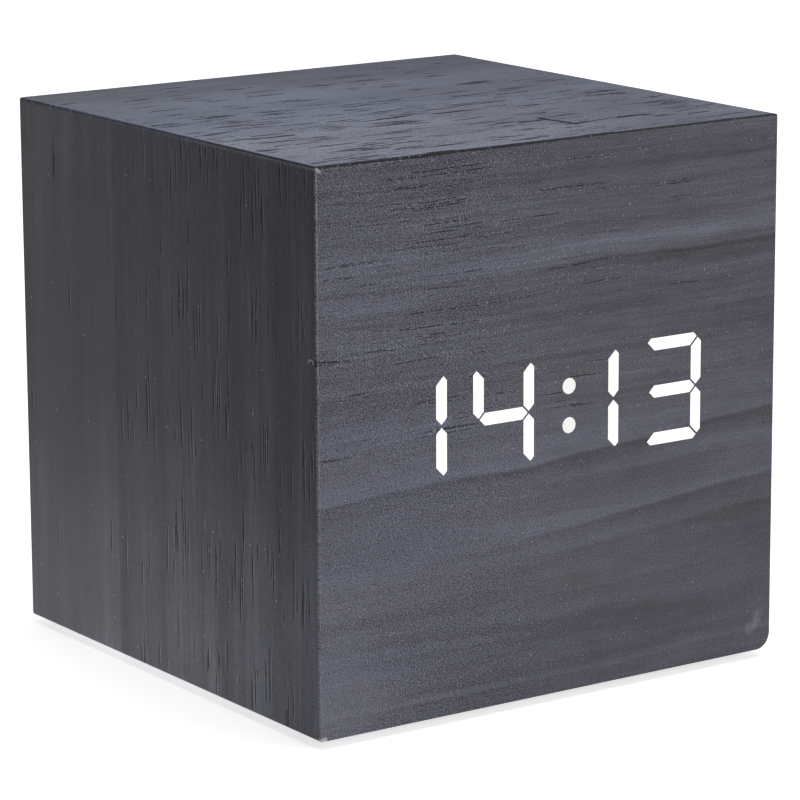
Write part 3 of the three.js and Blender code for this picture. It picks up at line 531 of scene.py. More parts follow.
def fold_sleeve():
    """Rings of the outline along the depth make the outer face, and smaller ones the inner face."""
    rings = [(case_low.y + SKIN + y * MM, inset * MM) for y, inset in FRONT_SEAM]
    rings += [(case_high.y + y * MM, inset * MM) for y, inset in REAR_EDGE]
    rings += [(case_high.y, SKIN), (case_low.y + SKIN, SKIN)]
    build = bmesh.new()
    map_layer = build.loops.layers.uv.new("strip")
    rows = [[build.verts.new((x, y, z)) for x, z in case_outline(inset)] for y, inset in rings]
    distances = [0.0]
    for here, there in zip(outline, outline[1:] + outline[:1]):
        distances.append(distances[-1] + (there - here).length)
    for row, next_row in zip(rows, rows[1:] + rows[:1]):
        for i, face in enumerate(add_walls(build, row, next_row)):
            for loop, point in zip(face.loops, (i, i + 1, i + 1, i)):
                loop[map_layer].uv = (distances[point], loop.vert.co.y)
    return mesh_from(build, "wood_sleeve"), distances[-1]


sleeve_mesh, strip_length = fold_sleeve()
strip_size = [round(strip_length / MM, 1), round((case_size.y - SKIN) / MM, 1)]
print("the strip of skin measures", strip_size, "mm")

# %% [markdown]
# The skin is stained oak: a slate tone in soft bands, short dark pores with a painted highlight on one
# side, and a few white specks. The top gets a painted reflection, and the left side painted light and
# shade.
# A wood picture would do it, but a pattern in code has no seam and no end.
# Pores are long spots in a stretched cell pattern. They are dense towards the front and rare at the back.
# The slow changes of tone over a face were listed, and are laid on as soft areas.

# %% Values of the sleeve
SLEEVE_TONES = [(0.0, (47, 46, 49)), (0.5, (71, 71, 77)), (1.0, (97, 100, 110))]
# Painted reflection: the next tint makes the whole top bluer and lighter than the sides, like a gloss of
# the bright surroundings.
TOP_REFLECTION_TINT = (1.27, 1.40, 1.63)
TOP_FRONT_TINT = (2.30, 2.18, 1.96)
TOP_BACK_TINT = (0.58, 0.59, 0.63)
PORE_COLOUR = linear(30, 30, 34)
# On the top the pores are painted bluer too, as part of that painted reflection.
REFLECTION_TINTED_PORE_COLOUR = linear(30, 33, 44)
# Painted highlights along one edge of each pore, on the sides and on the top.
PORE_HIGHLIGHT_COLOUR = linear(122, 124, 131)
TOP_PORE_HIGHLIGHT_COLOUR = linear(150, 154, 168)
SPECK_COLOUR = linear(168, 168, 172)
CREASE_COLOUR = linear(24, 25, 31)
SCRATCH_COLOUR = linear(14, 15, 20)
# Soft areas of a lighter or darker tone: the middle and the reach in mm, and the strength. Those of the
# top go by X and Y, and those of the left side by Y and Z.
TOP_AREAS = [
    ((-14, 3), (32, 17), 0.29), ((-34, -12), (14, 12), 0.15), ((-16, -32), (30, 8), 0.12),
    ((22, -18), (9, 7), -0.14), ((-24, 31), (20, 5), -0.13), ((4, -15), (7, 5), -0.07),
]
# The soft areas of the left side are painted light and shade: lighter low down at the front, and darker at
# mid height towards the back, as the light from the floor falls.
SIDE_LIGHT_AND_SHADE_AREAS = [
    ((8, 35), (44, 12), -0.11), ((30, 33), (14, 17), -0.21), ((-33, 6), (14, 18), 0.29),
    ((18, 64), (10, 6), 0.10),
]
# Each ring line: its place in mm at one side, in the middle and at the other side; then the tone on its
# one side at both ends, and how far that reaches; and the same for its other side.
SLEEVE_RINGS = [
    ((10.8, 10.8, 10.8), (0.10, 0.06, 3.4), (-0.14, -0.16, 5.0)),
    ((-10.4, -10.4, -10.4), (0.10, 0.08, 4.0), (-0.06, -0.06, 2.0)),
]
# Each kind of spot: its cell in mm along and across the grain, and its least and greatest radius as
# shares of the cell.
NARROW_PORES = ((15.0, 0.47), (0.13, 0.32))
BROAD_PORES = ((8.5, 0.76), (0.20, 0.48))
SLEEVE_SPECKS = ((2.6, 2.6), (0.02, 0.045))
# Three marks of use, in mm: a scratch and a curl on the top, and half a ring like a hair on the left.
SCRATCH_ENDS = ((7.9, -18.8), (8.7, -24.8))
CURL_MIDDLE = (0.2, -29.8)
HAIR_MIDDLE = (-31.2, 43.9)
MARK_RADIUS = 0.55
print("the sleeve has", len(TOP_AREAS) + len(SIDE_LIGHT_AND_SHADE_AREAS), "soft areas")

# %% Finish of the sleeve
def ring_tone(x, height, ring):
    """The tone that one ring line adds: it fades away above the line, jumps at it and fades away below."""
    places, over, under = ring
    left, middle, right = places
    half = case_size.x / MM / 2
    slope = (right - left) / (2 * half)
    bow = ((left + right) / 2 - middle) / half ** 2
    off = height - ((x * bow + slope) * x + middle)
    fall_over = sum_of("EXPONENT", larger(off, 0.0) * (-1 / over[2]))
    fall_under = sum_of("EXPONENT", smaller(off, 0.0) * (1 / under[2]))
    side = rise(off, -0.30, 0.30)
    above = fall_over * rise(x, -half, half, over[0], over[1]) * side
    below = fall_under * rise(x, -half, half, under[0], under[1]) * (1.0 - side)
    return above + below


def sleeve_tone(where, in_line, line, across, place, on_top, streaks, fibres):
    """The tone of the stain, around a half, with painted light and shade on the left side. It is calmer on
    the top, and sharper towards the front.
    """
    x, y, z = place
    bands = cloud(in_line, (110.0, 5.0, 1.0), detail=3.0, roughness=0.6)
    fade = cloud(in_line, (14.0, 9.0, 1.0), detail=2.0)
    grain = cloud(where, (0.22, 0.2, 1.0), detail=1.0, roughness=0.8, shift=2.2)
    grain = grain * rise(on_top, 0.0, 1.0, 0.16, 0.30)
    sharp = rise(across, 22.0, 4.0, 0.45, 1.0)
    calm = rise(on_top, 0.0, 1.0, 1.0, 0.45)
    up = z - case_middle.z / MM
    rings = [ring_tone(up, line, ring) * (1.0 - on_top) for ring in SLEEVE_RINGS]
    return (
        0.5 + bands * calm * 0.21 + streaks * calm * sharp * 0.15 + fibres * sharp * 0.11
        + fade * 0.08 + grain * sharp + sum(rings)
        + soft_areas(x, y, TOP_AREAS) * on_top + soft_areas(y, z, SIDE_LIGHT_AND_SHADE_AREAS) * (x < 0.0)
    )


def sleeve_pores(where, in_line, line, along, across, x, on_top, off_fold):
    """The dark pores, and painted highlights along one edge of the narrow ones and of the broad ones."""
    front_share = rise(across, 14.0, -4.0)
    rows = rise(cloud(in_line, (13.0, 2.2, 1.0), detail=1.0, shift=3.1), -0.45, 0.45)
    ragged = cloud(where, (1.8, 0.7, 1.0), detail=2.0, roughness=0.6, shift=7.7)
    pore_line = line + ragged * rise(on_top, 0.0, 1.0, 0.08, 0.14)
    kept = (front_share * 0.62 + 0.10) * rows * rise(across, 15.0, 9.0, 0.12, 1.0)
    narrow = spots(along, pore_line, *NARROW_PORES, kept)
    # Painted highlight: a pale line along one edge of each narrow pore.
    pore_highlights = spots(along, pore_line + 0.22, *NARROW_PORES, kept)
    kept = (front_share * 0.56 + 0.32) * rows * rise(x, 28.0, -16.0, 0.60, 1.20) * on_top
    broad = spots(along, pore_line, *BROAD_PORES, kept, shift=5.7)
    # Painted highlight along one edge of each broad pore.
    broad_pore_highlights = spots(along, pore_line + 0.30, *BROAD_PORES, kept, shift=5.7)
    grooves = rise(cloud(in_line, (7.0, 0.62, 1.0), detail=2.0, roughness=0.7, shift=9.3), 0.45, 0.80)
    grooves = grooves * on_top * rows * rise(across, 10.0, -8.0, 0.15, 1.0)
    broken = rise(cloud(in_line, (1.5, 0.4, 1.0), detail=2.0, roughness=0.7, shift=4.4), -0.9, -0.1)
    pores = larger(larger(narrow, broad), grooves)
    pores = rise(pores * broken * rise(off_fold, 0.3, 1.2, 0.1, 1.0), 0.1, 0.75)
    pore_highlights = sum_of("SUBTRACT", pore_highlights, pores, clamp=True)
    broad_pore_highlights = sum_of("SUBTRACT", broad_pore_highlights, pores, clamp=True)
    return pores, pore_highlights, broad_pore_highlights


def tinted_top(colour, in_line, across, x, on_top):
    """The top is painted bluer and lighter than the sides as a painted reflection; it is paler towards the
    front and dark in patches along the back.
    """
    colour = tinted(on_top, colour, TOP_REFLECTION_TINT)
    at_front = on_top * rise(across, 8.0, -24.0) * rise(x, 28.0, -18.0, 0.55, 1.0)
    colour = tinted(at_front, colour, TOP_FRONT_TINT)
    patches = rise(cloud(in_line, (12.0, 3.2, 1.0), detail=1.0, shift=6.6), -0.5, 0.6, 0.55, 1.0)
    return tinted(on_top * rise(across, 14.0, 27.0) * patches, colour, TOP_BACK_TINT)


def sleeve_marks(colour, where, place, on_top):
    """The marks of use, and the thin joint of the skin under the case."""
    x, y, z = place
    wavy_x = x + cloud(where, (1.6, 1.6, 1.0), detail=2.0, shift=3.9) * 0.10
    scratch = near_segment(wavy_x, y, *SCRATCH_ENDS, 0.56)
    curl = near_ring(x, y, CURL_MIDDLE, MARK_RADIUS, 0.22)
    colour = painted(larger(scratch, curl * 0.7) * on_top, colour, SCRATCH_COLOUR)
    hair = near_ring(y, z, HAIR_MIDDLE, MARK_RADIUS, 0.14) * (x < 0.0) * (z > 44.0)
    colour = painted(hair * 0.7, colour, SPECK_COLOUR)
    joint = rise(abs(x), 0.05, 0.14, 1.0, 0.0) * rise(z, 1.2, 1.1)
    return painted(joint * 0.8, colour, PORE_COLOUR)


def sleeve_finish():
    material = new_finish("stained_wood_wrap")
    where, along, across, _ = place_in_mm(material, "UV")
    _, x, y, z = place_in_mm(material)
    on_top = rise(z, 65.4, 65.9)
    off_fold = larger(case_high.x / MM - abs(x), case_high.z / MM - z)
    line = across + cloud(where, (9.0, 3.0, 1.0), detail=1.0) * 0.16
    in_line = vector_of(along, line)
    streaks = cloud(in_line, (24.0, 0.60, 1.0), detail=3.0, roughness=0.6)
    fibres = cloud(in_line, (3.2, 0.15, 1.0), detail=2.0, roughness=0.7)
    tone = sleeve_tone(where, in_line, line, across, (x, y, z), on_top, streaks, fibres)
    colour = tinted_top(tones(tone, SLEEVE_TONES), in_line, across, x, on_top)
    pores, pore_highlights, broad_pore_highlights = sleeve_pores(where, in_line, line, along, across, x, on_top, off_fold)
    # Painted highlights beside the pores.
    colour = painted(pore_highlights * 0.40, colour, PORE_HIGHLIGHT_COLOUR)
    colour = painted(broad_pore_highlights * 0.30, colour, TOP_PORE_HIGHLIGHT_COLOUR)
    # Pores on the top take the bluer colour of the painted reflection.
    dark = painted(on_top, PORE_COLOUR, REFLECTION_TINTED_PORE_COLOUR)
    colour = painted(pores * rise(on_top, 0.0, 1.0, 0.85, 0.95), colour, dark)
    crease = rise(off_fold, 0.08, 0.36, 1.0, 0.0) * rise(across, 26.0, -24.0, 0.35, 0.9)
    colour = painted(crease, colour, CREASE_COLOUR)
    speck = spots(along, across, *SLEEVE_SPECKS, 0.14)
    colour = painted(speck * 0.8, colour, SPECK_COLOUR)
    colour = sleeve_marks(colour, where, (x, y, z), on_top)
    return finished(
        material, streaks * 0.10 + fibres * 0.12 - pores, 0.06, Base_Color=colour,
        Roughness=streaks * 0.04 + pores * 0.25 + 0.56,
        Specular_IOR_Level=rise(on_top, 0.0, 1.0, 0.12, 0.03),
    )


finishes["wrap_veneer"] = sleeve_finish()
wood_sleeve = put_in_scene("wood_sleeve", sleeve_mesh, finishes["wrap_veneer"])
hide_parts("veneer_wrap")
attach(wood_sleeve, "case")
print("the sleeve has", len(sleeve_mesh.polygons), "faces")

# %% [markdown]
# The front is a thin plate of its own, and the lit time shines through windows in it. The windows must
# fit the light guides closely, or a dark ring shows round each bar of a digit. So the outlines of the
# guides are read from the frame, grown by a hair, and the plate is filled between them.

# %% Read the outlines of the light guides
GUIDES = [name for name in cad_nodes if name.startswith("light_guide")]
WINDOW_ROOM = 0.012 * MM


def merged_copy(node):
    """A copy of a part's mesh for measuring or reworking, with its loose triangles joined."""
    build = bmesh.new()
    build.from_mesh(cad_nodes[node].data)
    bmesh.ops.remove_doubles(build, verts=build.verts, dist=1e-6)
    return build


def front_outlines(node):
    """The closed outlines of the faces of a part that lie furthest to the front."""
    build = merged_copy(node)
    nearest = min(v.co.y for v in build.verts)
    faces = {f for f in build.faces if all(v.co.y < nearest + 1e-5 for v in f.verts)}
    rim = [e for e in build.edges if sum(f in faces for f in e.link_faces) == 1]
    onward = {}
    for edge in rim:
        for a, b in (edge.verts, reversed(edge.verts)):
            onward.setdefault(a, []).append(b)
    loops, seen = [], set()
    for start in onward:
        if start in seen:
            continue
        loop, here, last = [], start, None
        while here not in seen:
            seen.add(here)
            loop.append(Vector((here.co.x, here.co.z)))
            here, last = next(v for v in onward[here] if v is not last), here
        loops.append(loop)
    build.free()
    return loops


def grown(loop, room):
    """Moves each side of a closed outline outwards by the same room."""
    area = sum(a.x * b.y - b.x * a.y for a, b in zip(loop, loop[1:] + loop[:1]))
    side = 1 if area > 0 else -1
    moved = []
    for before, here, after in zip(loop[-1:] + loop[:-1], loop, loop[1:] + loop[:1]):
        first = (here - before).normalized()
        second = (after - here).normalized()
        out = Vector((first.y + second.y, -first.x - second.x)) * side
        if out.length < 1e-6:
            continue
        moved.append(here + out * (room / (1 + first.dot(second))))
    return moved


window_loops = [grown(loop, WINDOW_ROOM) for node in GUIDES for loop in front_outlines(node)]
print("the front has", len(window_loops), "windows")

# %% Fill the front plate
FRONT_EDGE = [(0.0, 0.16), (0.03, 0.07), (0.08, 0.02), (0.18, 0.0)]
BACK_EDGE = [(-0.10, 0.0), (-0.03, 0.03), (0.0, 0.10)]


def fill_front():
    rings = [(case_low.y + y * MM, inset * MM) for y, inset in FRONT_EDGE]
    rings += [(case_low.y + SKIN + y * MM, inset * MM) for y, inset in BACK_EDGE]
    build = bmesh.new()
    rows = [[build.verts.new((x, y, z)) for x, z in case_outline(inset)] for y, inset in rings]
    for row, next_row in zip(rows, rows[1:]):
        add_walls(build, row, next_row)
    walls = []
    for loop in window_loops:
        front = [build.verts.new((x, case_low.y, z)) for x, z in loop]
        back = [build.verts.new((x, case_low.y + SKIN, z)) for x, z in loop]
        walls.append((front, back))
        add_walls(build, front, back)
    for outer, which in ((rows[0], 0), (rows[-1], 1)):
        loops = [outer] + [wall[which] for wall in walls]
        points = [vert for loop in loops for vert in loop]
        for triangle in tessellate_polygon([[vert.co for vert in loop] for loop in loops]):
            build.faces.new([points[i] for i in triangle])
    return mesh_from(build, "front_skin")


front_mesh = fill_front()
print("the front plate has", len(front_mesh.polygons), "faces")

# %% [markdown]
# The front shows broad grain that runs across it. Each year ring brightens slowly and ends in a sharp
# edge, so a ring is a line with a light side and a dark side. The lines and the soft areas between them
# are listed. Over them lie wavy streaks, a fine sparkle that is strongest on the left, pores and
# pale specks.

# %% Values of the front
FRONT_TONES = [(0.0, (30, 29, 31)), (0.5, (89, 89, 98)), (1.0, (132, 134, 151))]
# How strongly the patterns move the tone away from the middle one.
FRONT_SPREAD = 0.7
OLIVE_TINT = (1.015, 1.005, 0.955)
CRUMB_COLOUR = linear(184, 184, 188)
SHADE_COLOUR = linear(18, 18, 21)
# The pale line up the left edge is partly wear and partly a painted highlight.
EDGE_WEAR_AND_HIGHLIGHT_COLOUR = linear(186, 186, 190)
RUB_COLOUR = linear(150, 152, 163)
CORNER_COLOUR = linear(190, 190, 192)
CHIP_COLOUR = linear(205, 205, 208)
# Soft areas as on the sleeve, by X and Z.
FRONT_AREAS = [
    ((-34, 5), (13, 12), 0.50), ((-26, 30), (20, 16), 0.20), ((0, 20), (38, 5), 0.17),
    ((-6, 35), (20, 4), 0.08), ((26, 63), (26, 5), -0.10), ((-30, 63), (14, 5), 0.12),
    ((-32, 50), (10, 4), 0.10), ((31, 18), (7, 3), -0.10), ((-20, 52.7), (26, 1.3), 0.26),
    ((22, 53.9), (24, 1.4), 0.15), ((16, 8.2), (22, 2.0), -0.14), ((-26, 54.6), (9, 1.3), 0.28),
    ((-28, 49.4), (9, 0.9), 0.30), ((-28, 51.9), (9, 1.0), -0.12),
]
# These ring lines go by their heights at the left edge, in the middle and at the right edge. The tones
# are those above a line, on the left and on the right, and then those below it.
RING_LINES = [
    ((61.6, 61.4, 61.7), (-0.08, -0.16, 4.0), (0.03, 0.08, 2.5)),
    ((51.3, 51.3, 51.7), (0.06, 0.08, 2.2), (-0.16, -0.28, 1.0)),
    ((48.9, 48.6, 48.4), (0.12, 0.02, 0.7), (-0.12, -0.04, 1.4)),
    ((43.6, 43.8, 44.3), (0.00, 0.05, 1.5), (-0.04, -0.12, 0.7)),
    ((27.8, 29.0, 31.2), (0.44, 0.14, 2.6), (-0.22, -0.32, 2.2)),
    ((18.2, 20.5, 23.0), (0.04, 0.26, 2.2), (-0.04, -0.20, 1.6)),
    ((17.8, 18.0, 19.8), (0.00, 0.02, 1.0), (0.00, -0.20, 2.6)),
    ((10.2, 9.4, 8.2), (-0.12, -0.02, 1.3), (0.16, -0.05, 2.0)),
    ((3.3, 3.4, 3.6), (0.32, 0.06, 0.8), (-0.14, -0.08, 1.0)),
]
FRONT_PORES = ((17.0, 0.28), (0.18, 0.42))
FRONT_CRUMBS = ((0.46, 0.25), (0.12, 0.27))
FRONT_SPECKS = ((1.7, 1.5), (0.03, 0.07))
TOP_EDGE_CRUMBS = ((0.55, 0.40), (0.10, 0.30))
print("the front has", len(RING_LINES), "ring lines and", len(FRONT_AREAS), "soft areas")

# %% Finish of the front
def front_tone(where, in_line, height, x, z, left_share, streaks, fibres, sparkle):
    """The tone of the stain, around 0. The streaks are strongest high up on the left."""
    broad = cloud(in_line, (60.0, 9.0, 3.2), detail=2.0)
    mottle = cloud(where, (3.5, 9.0, 2.0), detail=3.0, shift=7.0)
    high_share = rise(z, 24.0, 42.0, 0.42, 1.15) * rise(left_share, 0.0, 0.8, 0.7, 1.0)
    rings = [ring_tone(x, height, ring) for ring in RING_LINES]
    return (
        left_share * 0.08 + broad * 0.20 + streaks * high_share * 0.20 + fibres * high_share * 0.14
        + mottle * 0.06 + sparkle + soft_areas(x, z, FRONT_AREAS) + sum(rings)
    )


def olive_share(in_line, x, z):
    """The stain has a trace of olive, most of it low down on the left."""
    cloudy = rise(cloud(in_line, (40.0, 9.0, 6.0), detail=1.0, shift=8.3), -0.5, 0.7)
    return cloudy * rise(x, 24.0, -6.0, 0.3, 1.0) * rise(z, 54.0, 38.0, 0.2, 1.0)


def front_pores(in_line, height, x, z):
    """The dark pores and the pale crumbs along them, both dense in the upper left."""
    upper_left = rise(x, 22.0, -8.0, 0.15, 1.0) * rise(z, 28.0, 46.0)
    rows = rise(cloud(in_line, (30.0, 9.0, 0.6), detail=1.0, shift=6.0), 0.1, 0.6)
    kept = (upper_left * 0.95 + 0.02) * rows
    broken = rise(cloud(in_line, (0.9, 9.0, 0.4), detail=2.0, roughness=0.7, shift=11.0), -0.5, 0.2)
    pores = rise(spots(x, height, *FRONT_PORES, kept, shift=1.0) * broken, 0.1, 0.7)
    kept = larger(kept * 0.7, rows * rise(x, 12.0, -16.0, 0.0, 0.34))
    crumbs = spots(x, height + 0.18, *FRONT_CRUMBS, kept, shift=4.0)
    return pores, crumbs


def edge_shade_wear_and_highlight(colour, where, x, z, on_face):
    """A dark ragged line of painted shade and crumbs under the top edge, and a pale left edge line: wear
    and painted highlight.
    """
    ragged = cloud(where, (1.2, 9.0, 0.6), detail=3.0, roughness=0.7, shift=5.0)
    depth = rise(x, 10.0, -12.0) * 0.10 + ragged * 0.07 + 0.12
    under_top = case_high.z / MM - z
    # Painted shade: a dark ragged line just under the top edge, also over the top wall of the plate.
    dark = rise(under_top - depth, 0.0, 0.10, 1.0, 0.0)
    colour = painted(dark * 0.95, colour, SHADE_COLOUR)
    # A pale line up the left edge, partly wear and partly a painted highlight, brighter high up.
    breaks = cloud(where, (9.0, 9.0, 1.4), detail=3.0, roughness=0.8, shift=9.0)
    breaks = rise(breaks, -0.6, 0.7, 0.25, 1.0) * rise(z, 10.0, 64.0, 0.45, 1.0)
    pale = rise(x - case_low.x / MM, 0.12, 0.22, 1.0, 0.0) * breaks
    colour = painted(pale * on_face * 0.85, colour, EDGE_WEAR_AND_HIGHLIGHT_COLOUR)
    kept = rise(under_top, 1.1, 0.2) * rise(x, 2.0, -24.0, 0.10, 0.55)
    crumbs = spots(x, z, *TOP_EDGE_CRUMBS, kept, shift=6.0)
    return painted(crumbs * on_face * 0.6, colour, SPECK_COLOUR), ragged


def rubbed_corners(colour, where, x, z, ragged):
    """A smudge near the lower right corner, a crumb in the upper left one and a chip in the lower left."""
    left, right = case_low.x / MM, case_high.x / MM
    bottom, top = case_low.z / MM, case_high.z / MM
    rub = near_segment(x, z, (right - 3.0, bottom + 2.8), (right - 2.1, bottom + 4.4), 1.2)
    rub = rub * rise(cloud(where, (1.6, 9.0, 1.6), detail=3.0, roughness=0.7), -0.7, 1.1)
    colour = painted(rub * 0.55, colour, RUB_COLOUR)
    crumb = near_segment(x, z, (left + 0.15, top - 0.30), (left + 0.50, top - 0.60), 0.26)
    colour = painted(crumb * rise(ragged, -0.7, 0.1) * 0.85, colour, CORNER_COLOUR)
    chip = near_segment(x, z, (left, bottom), (left + 0.5, bottom + 0.2), 0.5)
    return painted(chip, colour, CHIP_COLOUR)


def front_finish():
    material = new_finish("stained_wood_front")
    where, x, y, z = place_in_mm(material)
    slow = cloud(where, (24.0, 9.0, 12.0), detail=1.0)
    quick = cloud(where, (6.0, 9.0, 2.5), detail=2.0, shift=2.0)
    height = z + slow * 0.40 + quick * 0.12
    in_line = vector_of(x, 0.0, height)
    left_share = rise(x, 10.0, -22.0)
    on_face = rise(y - case_low.y / MM, 0.04, 0.12, 1.0, 0.0)
    streaks = cloud(in_line, (45.0, 9.0, 0.70), detail=3.0, roughness=0.65)
    fibres = cloud(in_line, (5.0, 9.0, 0.20), detail=2.0, roughness=0.7, shift=4.0)
    sparkle = cloud(where, (0.16, 9.0, 0.14), detail=1.0, roughness=0.9, shift=1.0)
    sparkle = sparkle * rise(left_share, 0.0, 1.0, 0.42, 1.25)
    tone = front_tone(where, in_line, height, x, z, left_share, streaks, fibres, sparkle)
    colour = tones(tone * FRONT_SPREAD + 0.5, FRONT_TONES)
    colour = tinted(olive_share(in_line, x, z), colour, OLIVE_TINT)
    pores, crumbs = front_pores(in_line, height, x, z)
    colour = painted(pores * 0.80, colour, PORE_COLOUR)
    speck = spots(x, z, *FRONT_SPECKS, left_share * 0.16 + 0.08, shift=2.0)
    colour = painted(speck * on_face * 0.75, colour, SPECK_COLOUR)
    colour = painted(crumbs * on_face * 0.75, colour, CRUMB_COLOUR)
    colour, ragged = edge_shade_wear_and_highlight(colour, where, x, z, on_face)
    colour = rubbed_corners(colour, where, x, z, ragged)
    return finished(
        material, fibres * 0.14 + sparkle - pores, 0.04, Base_Color=colour,
        Roughness=streaks * 0.04 + pores * 0.2 + 0.58,
        Specular_IOR_Level=rise(on_face, 0.0, 1.0, 0.03, 0.2),
    )


finishes["front_veneer"] = front_finish()
front_skin = put_in_scene("front_skin", front_mesh, finishes["front_veneer"], smooth=False)
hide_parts("front_veneer")
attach(front_skin, "case")
print("the front plate is finished")

# %% [markdown]
# The light guides are clear plastic, lit from behind, and look evenly white. Their shape is right as it
# comes, so they keep it and only get a finish that gives light, with a trace of unevenness.
# The dots of the colon are a little dimmer than the digits.

# %% Finish of the light guides
def lit_finish(name, brightness):
    grey = linear(120, 120, 120)
    material = new_finish(name, Roughness=0.4, Emission_Strength=brightness, Base_Color=grey)
    where, *_ = place_in_mm(material)
    grain = cloud(where, (0.5, 0.5, 0.5), detail=2.0) * 0.1 + 0.5
    colour = tones(grain, [(0.0, (250, 248, 244)), (1.0, (255, 255, 254))])
    return finished(material, Emission_Color=colour)


digit_light = lit_finish("lit_guide", 0.97)
colon_light = lit_finish("lit_colon", 0.76)
print("the digits and the colon are lit")

# %% [markdown]
# The sleeve under the skin is fibreboard: four boards, mitred at the corners. Their edges show only at
# the back, where the dark stain of the case has soaked in. They keep their shape, and the finish puts
# the stain on by depth and draws the glue line of each mitre, which runs from corner to corner.

# %% Finish of the fibreboard
STAIN_DEPTH = 2.4


def fibreboard_finish():
    material = new_finish("fibreboard", Roughness=0.8, Specular_IOR_Level=0.2)
    where, x, y, z = place_in_mm(material)
    fibres = cloud(where, (0.9, 0.35, 0.35), detail=3.0, roughness=0.7)
    layers = cloud(where, (2.5, 2.5, 2.5), detail=2.0, shift=3.0)
    tone = 0.5 + fibres * 0.22 + layers * 0.1
    raw = tones(tone, [(0.0, (120, 96, 68)), (0.5, (166, 137, 103)), (1.0, (196, 170, 136))])
    dark = tones(tone, [(0.0, (30, 29, 31)), (0.5, (47, 46, 48)), (1.0, (70, 68, 68))])
    back = case_high.y / MM
    stained = rise(y, back - STAIN_DEPTH, back - STAIN_DEPTH + 0.4)
    colour = painted(stained, raw, dark)
    off_diagonal = abs(abs(x) - abs(z - case_middle.z / MM))
    mitre = rise(off_diagonal, 0.06, 0.16, 1.0, 0.0)
    colour = painted(mitre * 0.8, colour, linear(24, 22, 22))
    return finished(material, fibres * 0.4 - mitre, 0.05, Base_Color=colour)


finishes["fibreboard"] = fibreboard_finish()
print("the boards are", [n for n, s in slot_of_node.items() if s == "fibreboard"])

# %% [markdown]
# Most small parts come from a mould. Such a part has one colour, but never a flat one: the steel of the
# mould was eroded by sparks, which leaves a fine grain, and the melt leaves faint cloudy marks.
# One helper makes all of these finishes, with the size and depth of the grain as its values.

# %% Moulded finishes
def moulded_finish(name, colour, grain=0.25, depth=0.02, roughness=0.5, spread=0.1, specular=0.4):
    material = new_finish(name, Specular_IOR_Level=specular)
    where, *_ = place_in_mm(material)
    grains = cloud(where, (grain, grain, grain), detail=2.0, roughness=0.6)
    marks = cloud(where, (9.0, 7.0, 8.0), detail=2.0, shift=4.0)
    tone = 0.5 + grains * spread + marks * (spread * 1.4)
    return finished(
        material, grains * 0.25 + 0.5, depth, Base_Color=three_tones(tone, colour, 0.72, 1.16, lift=6),
        Roughness=grains * 0.05 + marks * 0.05 + roughness,
    )


MOULDED = {
    "black_plastic": dict(colour=(40, 40, 43), grain=0.28, depth=0.03, roughness=0.55),
    "foot_rubber": dict(colour=(36, 36, 38), grain=0.5, depth=0.02, roughness=0.75, specular=0.2),
    "film": dict(colour=(236, 236, 233), grain=0.12, depth=0.01, roughness=0.6, spread=0.04),
    "white_plastic": dict(colour=(234, 234, 231), grain=0.35, depth=0.01, roughness=0.45, spread=0.04),
    "dark_component": dict(colour=(44, 44, 47), grain=0.15, depth=0.01, roughness=0.5),
    "socket_plastic": dict(colour=(224, 219, 204), grain=0.3, depth=0.01, roughness=0.4, spread=0.05),
    "plunger_plastic": dict(colour=(138, 139, 142), grain=0.3, depth=0.01, roughness=0.4),
    "red_sleeve": dict(colour=(168, 36, 32), grain=0.6, depth=0.02, roughness=0.4, spread=0.05),
    "black_sleeve": dict(colour=(34, 34, 36), grain=0.6, depth=0.02, roughness=0.4),
}
for slot, values in MOULDED.items():
    finishes[slot] = moulded_finish(slot, **values)
print("there are", len(MOULDED), "moulded finishes")

# %% [markdown]
# The batten and the corner blocks are pine, sawn and not sanded: pale, with darker late wood in lines.
# Steel needs another treatment, because what shows on it is mostly its surroundings. It gets fine
# drawing lines in its roughness and a little tarnish, and stays fully metallic.

# %% Pine and steel
def pine_finish():
    material = new_finish("batten_wood", Roughness=0.7, Specular_IOR_Level=0.25)
    where, x, y, z = place_in_mm(material)
    bend = cloud(where, (20.0, 8.0, 8.0), detail=1.0)
    placed = vector_of(x * 0.02, y + bend * 0.6, z)
    inputs = {"Vector": placed, "Scale": 0.22, "Distortion": 1.5, "Detail": 2.0}
    rings = wire_from("ShaderNodeTexWave", inputs, output=1, bands_direction="DIAGONAL")
    fibres = cloud(where, (5.0, 0.2, 0.2), detail=2.0, shift=2.0)
    tone = rings * 0.7 + fibres * 0.12
    colour = tones(tone, [(0.0, (214, 182, 134)), (0.6, (198, 158, 107)), (1.0, (158, 112, 66))])
    return finished(material, fibres * 0.5, 0.05, Base_Color=colour)


def steel_finish(name, colour, roughness, lines):
    material = new_finish(name, Metallic=1.0)
    where, *_ = place_in_mm(material)
    drawn = cloud(where, lines, detail=2.0, roughness=0.6)
    tarnish = cloud(where, (2.2, 2.2, 2.2), detail=3.0, shift=5.0)
    tone = 0.5 + tarnish * 0.14 + drawn * 0.06
    return finished(
        material, drawn * 0.3, 0.005, Base_Color=three_tones(tone, colour, 0.8, 1.08),
        Roughness=drawn * 0.06 + tarnish * 0.05 + roughness,
    )


finishes["batten_wood"] = pine_finish()
finishes["screw_steel"] = steel_finish("screw_steel", (150, 151, 154), 0.36, (0.1, 0.1, 1.2))
finishes["contact_steel"] = steel_finish("contact_steel", (196, 194, 187), 0.28, (0.08, 1.5, 0.08))
print("pine and steel are ready")

# %% [markdown]
# A circuit board is glass cloth under green lacquer. Copper tracks show through as paler green lines
# that run along and across, the weave shows as a fine check, and tinned spots mark the joints.

# %% Circuit board, ribbon and cell wrap
BOARD_STEP = 1.27
TIN_COLOUR = linear(196, 194, 186)
RED_WIRE = linear(176, 48, 44)
WRAP_BLUE = (28, 56, 78)
WRAP_SILVER = (196, 199, 203)
